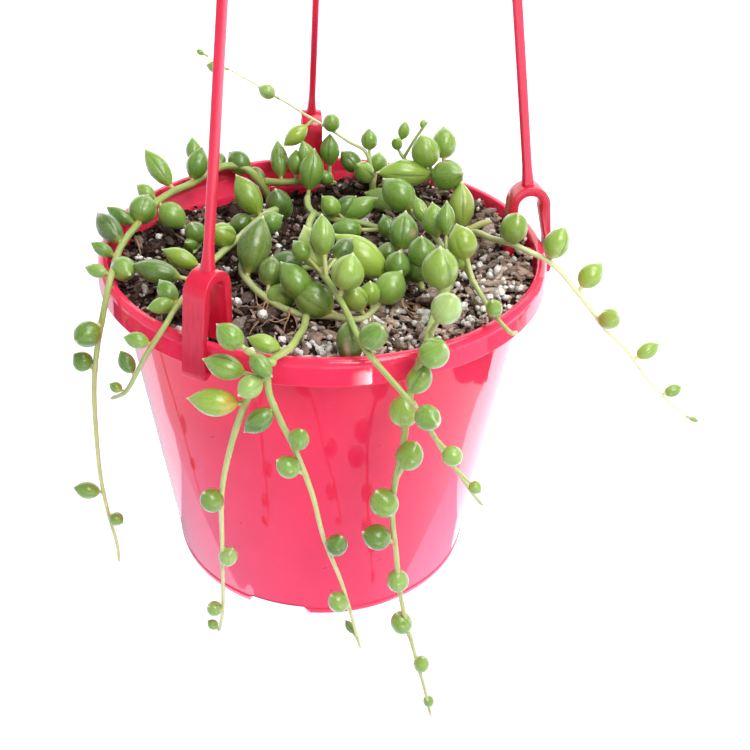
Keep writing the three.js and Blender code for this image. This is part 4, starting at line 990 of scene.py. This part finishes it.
def add_leaf(leaves, stalks, rng, root, row, tone, yellow, scar, ripe):
    """One plump leaf with its slit and its short stalk."""
    heading, rise, length, width, stalk = row
    grown = LEAF_GROWTH if math.hypot(root[0], root[1]) < HANGING_REACH else HANGING_GROWTH
    length, width = length * grown, width * grown
    h, r = math.radians(heading), math.radians(rise)
    forward = np.array((math.cos(h) * math.cos(r), math.sin(h) * math.cos(r), math.sin(r)))
    up = np.array((0, 0, 1.0)) if abs(forward[2]) < 0.93 else np.array((-math.cos(h), -math.sin(h), 0.0))
    up = up - (up @ forward) * forward
    up /= np.linalg.norm(up)
    side = np.cross(forward, up)
    roll = rng.normal(0, 0.95) if scar is None else 0.0
    up, side = up * math.cos(roll) + side * math.sin(roll), side * math.cos(roll) - up * math.sin(roll)
    # the leaf's outline, smoothed, along a slightly bent middle line
    steps = 0.5 - 0.5 * np.cos(np.linspace(0, math.pi, LEAF_RINGS))
    slim = float(np.clip((length / width - 1.25) / 0.6 + rng.normal(0, 0.15), 0, 1))
    plump = sum(part * np.interp(steps, *np.array(outline).T)
                for part, outline in ((1 - slim, ROUND_LEAF), (slim, SLIM_LEAF)))
    for _ in range(2):
        plump[1:-1] = 0.25 * plump[:-2] + 0.5 * plump[1:-1] + 0.25 * plump[2:]
    bend = rng.uniform(0.0, 0.07) * length
    steps, plump = steps[:, None], plump[:, None]
    centre = root + forward * (stalk + steps * length) + up * (bend * steps ** 2 - bend * 0.3 * steps)
    # the way round, with a groove at the slit and slight lobes
    angles = 2 * math.pi * np.arange(LEAF_SIDES)[None, :] / LEAF_SIDES
    off_slit = np.abs((angles + math.pi) % (2 * math.pi) - math.pi)
    groove = 0.05 * np.exp(-((off_slit / 0.16) ** 2)) * np.sin(math.pi * steps)
    radial = (1 - groove - 0.035 * np.cos(angles)) * (1 + 0.012 * np.sin(3 * angles + rng.uniform(0, 6)))
    out = np.cos(angles)[:, :, None] * up + np.sin(angles)[:, :, None] * side
    verts = centre[:, None, :] + (plump * width / 2 * radial)[:, :, None] * out
    tones = np.zeros((LEAF_RINGS, LEAF_SIDES, 4))
    tones[..., 0] = steps
    slit_width = 0.16 + 0.06 * np.sin(math.pi * steps)
    slit_fade = np.sin(math.pi * np.clip(steps * 1.02, 0, 1)) ** 0.35
    tones[..., 1] = np.exp(-((off_slit / slit_width) ** 2)) * slit_fade
    tones[..., 2] = np.clip(tone + rng.normal(0, 0.14), 0, 1)
    tones[..., 3] = yellow
    marks = np.zeros((LEAF_RINGS, LEAF_SIDES, 4))
    marks[..., 0] = off_slit / math.pi
    marks[..., 2:] = rng.uniform(), ripe
    if scar is not None:
        along, around, long, wide = scar
        off_scar = (angles - around + math.pi) % (2 * math.pi) - math.pi
        marks[..., 1] = np.exp(-((steps - along) / long) ** 4 - (off_scar / wide) ** 4)
    leaves.add(verts.reshape(-1, 3), tube_faces(LEAF_RINGS, LEAF_SIDES), tones.reshape(-1, 4),
               marks.reshape(-1, 4))
    line, _ = spline([root, root + forward * stalk * 0.6, root + forward * (stalk + 0.5)], 0.5)
    thin = max(0.42, min(0.7, width * 0.085))
    stalks.add(*tube(line, np.linspace(thin * 1.15, thin, len(line)), 10), (0.2, 0, 0.6, 0.15))


def make_stem(name, shoots):
    """A leafy stem: its shoots and stalks are one piece and its leaves another, on the same node."""
    rng = np.random.default_rng(sum(ord(c) for c in name))
    tone, yellow, pale, palest = STEM_TONES[name]
    fresh, dark, scars, ripe = (
        table.get(name, {}) for table in (FRESH_LEAVES, DARK_LEAVES, SCARRED_LEAVES, RIPE_LEAVES))
    green, leaves = Shape(), Shape()
    for branch, (path, (start, end), rows) in enumerate(shoots):
        line, marks = spline(path, 0.8)
        radii = start + (end - start) * marks / marks[-1]
        radii = radii * (FRONT_LEFT_THINNING if name == "stem_front_left" else STEM_THINNING)
        radii = radii * (1 + 0.015 * np.sin(marks * 0.9) + 0.012 * np.sin(marks * 2.3 + 1))
        if name == "stem_back":
            radii = radii * np.interp(marks, (14, 26), (1, 0.66))
        joints = np.zeros(len(marks))
        for row in rows:
            near = np.exp(-(((marks - row[0]) / 1.3) ** 2))
            radii = radii * (1 + 0.1 * near)
            joints = np.maximum(joints, near)
        radii[-2:] *= (0.8, 0.5)
        # where the stem hangs below the rim, or reaches far out, it is paler and more washed out
        away = np.hypot(line[:, 0], line[:, 1])
        lower = share(-line[:, 2], 12, 57)
        if name == "stem_right":
            lower = np.maximum(lower, share(away, 50, 64))
        if name == "stem_back":
            lower = share(marks, 18, 43)
        # near the root, over the mix, the stem is painted paler: painted light for the leaves' shade it
        # lies in
        near, far = STEM_LIGHT_AND_WASH.get(name, {}).get(branch, USUAL_LIGHT_AND_WASH)
        tones = np.zeros((len(line), STEM_SIDES, 4))
        for k, values in enumerate((
                joints * 0.5, share(marks / marks[-1], 0.55, 1.05),
                np.clip(share(away, 38, 72) * palest * (0.4 + 0.6 * lower), pale, 1),
                near * share(away, 60, 35) + far * lower)):
            tones[..., k] = values[:, None]
        lines = np.zeros((len(line), STEM_SIDES, 4))
        lines[..., 0] = np.abs(np.arange(STEM_SIDES) - 6)[None, :] / 6
        lines[..., 2] = rng.uniform(0, 9)
        lines[..., 3] = marks[:, None] / 10
        green.add(*tube(line, radii), tones.reshape(-1, 4), lines.reshape(-1, 4))
        for along, *row in rows:
            root = np.array([np.interp(along, marks, line[:, k]) for k in range(3)])
            lift = 0.25 if path[0][2] < -8 and root[2] > -20 else 0.35
            own = (branch, along)
            yellowed = fresh.get(own, yellow * rng.uniform(0.2, 1.0) ** 2)
            shade = tone + dark.get(own, 0) + lift * (0.5 - rng.uniform())
            add_leaf(leaves, green, rng, root, row, shade, yellowed, scars.get(own), ripe.get(own, 0))
    green.build(name + "_stalks", STEM, "leaf_and_stem")
    leaves.build(name + "_leaves", LEAF, "leaf_and_stem", (name,))


def make_roots():
    """Thin dry roots that leave the stems and lie over the mix."""
    rng = np.random.default_rng(3)
    roots = Shape()
    for x, y, z in ROOT_STARTS:
        for _ in range(3):
            heading = rng.uniform(-2.6, -0.4)
            points = [np.array((x, y, z + 0.5))]
            reach = rng.uniform(1.6, 3.0)
            for k in range(1, 7):
                heading += rng.normal(0, 0.35)
                p = points[-1] + np.array(polar(reach, heading, 0))
                p[2] = soil_level(p[0], p[1]) + 0.9 + max(0, 3 - k) * 0.8 + rng.uniform(0, 0.8)
                points.append(p)
            line, _ = spline(points, 0.8)
            roots.add(*tube(line, np.linspace(0.24, 0.1, len(line)), 7))
    line, _ = spline(LEFT_ROOT, 0.6)
    roots.add(*tube(line, np.linspace(0.32, 0.12, len(line)), 7))
    roots.build("aerial_roots", ROOTS, "leaf_and_stem")


make_pot()
make_soil()
crumbs = np.random.default_rng(11)
make_perlite(crumbs)
make_bark(crumbs)
make_roots()
make_hook()
for side, (azimuth, bow, sway) in ARMS.items():
    make_arm(side, azimuth, bow, sway)
for name, shoots in STEMS.items():
    make_stem(name, shoots)


# Camera, floor and studio light.
def make_camera():
    e = CAMERA_ELEVATION
    centre = np.array((0, -CAMERA_DISTANCE * math.cos(e), CAMERA_DISTANCE * math.sin(e)))
    ahead = np.array((0, math.cos(e), -math.sin(e)))
    right = np.array((1.0, 0, 0))
    up = np.cross(right, ahead)

    def swing(a, b, angle):
        c, s = math.cos(angle), math.sin(angle)
        return a * c + b * s, b * c - a * s
    ahead, right = swing(ahead, right, CAMERA_YAW)
    ahead, up = swing(ahead, up, CAMERA_PITCH)
    right, up = swing(right, up, CAMERA_ROLL)
    data = bpy.data.cameras.new("camera")
    data.sensor_width = 36
    data.lens = data.sensor_width * CAMERA_FOCAL
    data.clip_start = 0.01
    camera = bpy.data.objects.new("camera", data)
    turned = np.column_stack((right, up, -ahead, place(centre)))
    camera.matrix_world = Matrix(np.vstack((turned, (0, 0, 0, 1))))
    bpy.context.scene.collection.objects.link(camera)
    bpy.context.scene.camera = camera


def make_light(name, at, target, size, power, colour=(1, 1, 1)):
    data = bpy.data.lights.new(name, "AREA")
    data.shape = "RECTANGLE"
    data.size, data.size_y = size
    data.energy = power
    data.color = colour
    lamp = bpy.data.objects.new(name, data)
    lamp.location = place(at)
    bpy.context.scene.collection.objects.link(lamp)
    lamp.rotation_euler = (Vector(place(target)) - lamp.location).to_track_quat("-Z", "Y").to_euler()
    lamp.visible_camera = False


def make_world():
    world = bpy.data.worlds.new("studio")
    bpy.context.scene.world = world
    world.use_nodes = True
    world.node_tree.nodes["Background"].inputs[0].default_value = (0.98, 0.985, 1.0, 1)
    world.node_tree.nodes["Background"].inputs[1].default_value = 0.38


def square(half, height):
    return [(-half, -half, height), (half, -half, height), (half, half, height), (-half, half, height)]


def make_floor():
    n = Nodes("pale_floor")
    paper = n.mix(n.patches(3, 2, 0.5, 0.3, 0.7), (0.62, 0.60, 0.61), (0.65, 0.63, 0.64))
    glow = n.spread(n.maths("SQRT", n.squared_distance()), 0.25, 0.9, 1.0, 0.60)
    n.set(Emission_Color=(1.0, 0.98, 1.1, 1), Emission_Strength=glow)
    floor = mesh_object("studio_floor", square(9000, FLOOR), [(0, 1, 2, 3)], n.finish(paper, 0.6, 0.2))


def make_card(name, verts, colour, glow, faces=None):
    """A bright sheet that only shows in gloss; glow gives its strength, and may work on its nodes."""
    n = Nodes(name)
    n.set(Base_Color=(0.0, 0.0, 0.0, 1), Specular_IOR_Level=0.0, Emission_Color=(*colour, 1))
    n.set(Emission_Strength=glow(n) if callable(glow) else glow)
    card = mesh_object(name, verts, faces or [tuple(range(len(verts)))], n.material)
    for ray in ("camera", "diffuse", "transmission", "shadow", "volume_scatter"):
        setattr(card, "visible_" + ray, False)


def sheet(name, outline, lift, strength, colour, power=None):
    """A sheet that lies above the floor. With a power it is stronger towards the pot's sides."""
    def glow(n):
        x, y, _ = n.split()
        side = n.maths("DIVIDE", n.maths("ABSOLUTE", n.maths("ARCTAN2", x, y)), 0.663)
        return n.times(n.maths("POWER", side, power), strength)
    verts = [(x, y, FLOOR + lift) for x, y in outline]
    make_card("sheet_" + name, verts, colour, glow if power else strength)


def sector(inner, outer, start, end, points):
    """The outline of a part of a ring, between two azimuths."""
    turns = np.radians(np.linspace(start, end, points))
    return [polar(inner, a) for a in turns] + [polar(outer, a) for a in turns[::-1]]


def middle_glow(n):
    """Dim in front of the pot, brighter at both sides, and blue close round its foot."""
    across = n.ramp(n.spread(n.split()[0], -0.3, 0.3), *((x, (v, v, v)) for x, v in (
        (0.0, 0.56), (0.3, 0.38), (0.5, 0.25), (0.66, 0.42), (0.85, 0.72))))
    foot = n.spread(n.squared_distance(), 0.05, 0.01)
    n.set(Emission_Color=n.mix(foot, across, (0.13, 0.22, 0.5), "ADD"))
    return 2.0


def window_glow(n):
    """A window that is brighter to its right."""
    strength, low = 24, 0.02
    rising = n.maths("POWER", n.spread(n.split()[0], 0.058, 0.106), 1.7)
    return n.spread(rising, 0, 1, strength, strength * low)


WHITE = (1, 1, 1)
make_camera()
make_floor()
make_world()
make_card("sheet_middle", square(2000, FLOOR + 2), WHITE, middle_glow)
sheet("left", [(-181, 52), (-164, 19), (-142, -12), (-120, -34), (-97, -52), (-88, -68), (-30, -60), (0, 0),
               (0, 220), (-60, 160)], 4, 0.376, (0.82, 1.0, 1.25), 1.7)
sheet("left_back", [(-900, 420), (-360, 160), (-218, 84), (-205, 78), (-192, 53), (-171, 46), (-151, 58),
                    (-133, 70), (-97, 90), (-40, 130), (0, 420)], 6, 0.94, (0.85, 1.0, 1.12), 1.35)
sheet("right", [(260, 170), (173, 33), (154, -5), (130, -33), (106, -50), (60, -50), (0, 0), (0, 420),
                (260, 420)], 3, 1.5, (1.0, 0.95, 1.7))
sheet("right_near", [(193, 39), (170, 12), (151, -14), (131, -35), (109, -52), (60, -50), (0, 0), (0, 200),
                     (150, 90)], 4, 0.46, (0.9, 1.0, 1.4), 1.5)
sheet("right_back", [(900, 400), (360, 170), (236, 96), (221, 58), (203, 40), (183, 30), (156, 40),
                     (122, 64), (100, 60), (85, 66), (50, 90), (0, 420)], 6, 1.6, (0.9, 1.0, 1.12), 0.8)
sheet("dark", [(242, -80), (235, -45), (239, 22), (224, 92), (300, 110), (300, -80)], 8, 0.15, WHITE)
for start, end, strength in ((150, 232, 0.1), (232, 262, 0.35), (262, 286, 0.3), (286, 318, 0.55),
                             (318, 352, 1.3), (352, 375, 0.6)):
    sheet("rim_%d" % start, sector(322, 1.4 * 322, start, end, 9), 10, strength, (1.0, 0.93, 1.2))
make_card("window", [(58, -297, -128), (107, -282, -128), (107, -282, -175), (58, -297, -175)], WHITE,
          window_glow)
for near, far, strengths in ((470, 620, (2.4, 1.6, 0.7, 2.0)), (620, 2800, (2.8, 1.8, 1.2, 2.3))):
    for k, strength in enumerate(strengths):
        outline = sector(near, far, 90 * k, 90 * k + 90, 13)
        sheet("%d_%d" % (near, k), outline, 9, strength, (1.0, 0.95, 1.15))
# a round wall far behind everything
ring = [2 * math.pi * k / 48 for k in range(48)]
make_card("walls", [polar(3200, a, z) for z in (FLOOR, 1900) for a in ring], WHITE, 0.75,
          [(k, (k + 1) % 48, 48 + (k + 1) % 48, 48 + k) for k in range(48)])
make_light("key", (330, -600, 780), (0, 0, -20), (0.5, 0.5), 7.2, (1.0, 0.99, 0.97))
make_light("overhead", (320, 60, 860), (0, 0, 0), (0.6, 0.6), 5.2)
make_light("backdrop", (0, 950, 260), (0, 0, -20), (2.2, 1.0), 9)
bpy.context.scene.view_settings.view_transform = "Standard"
bpy.context.scene.view_settings.look = "None"
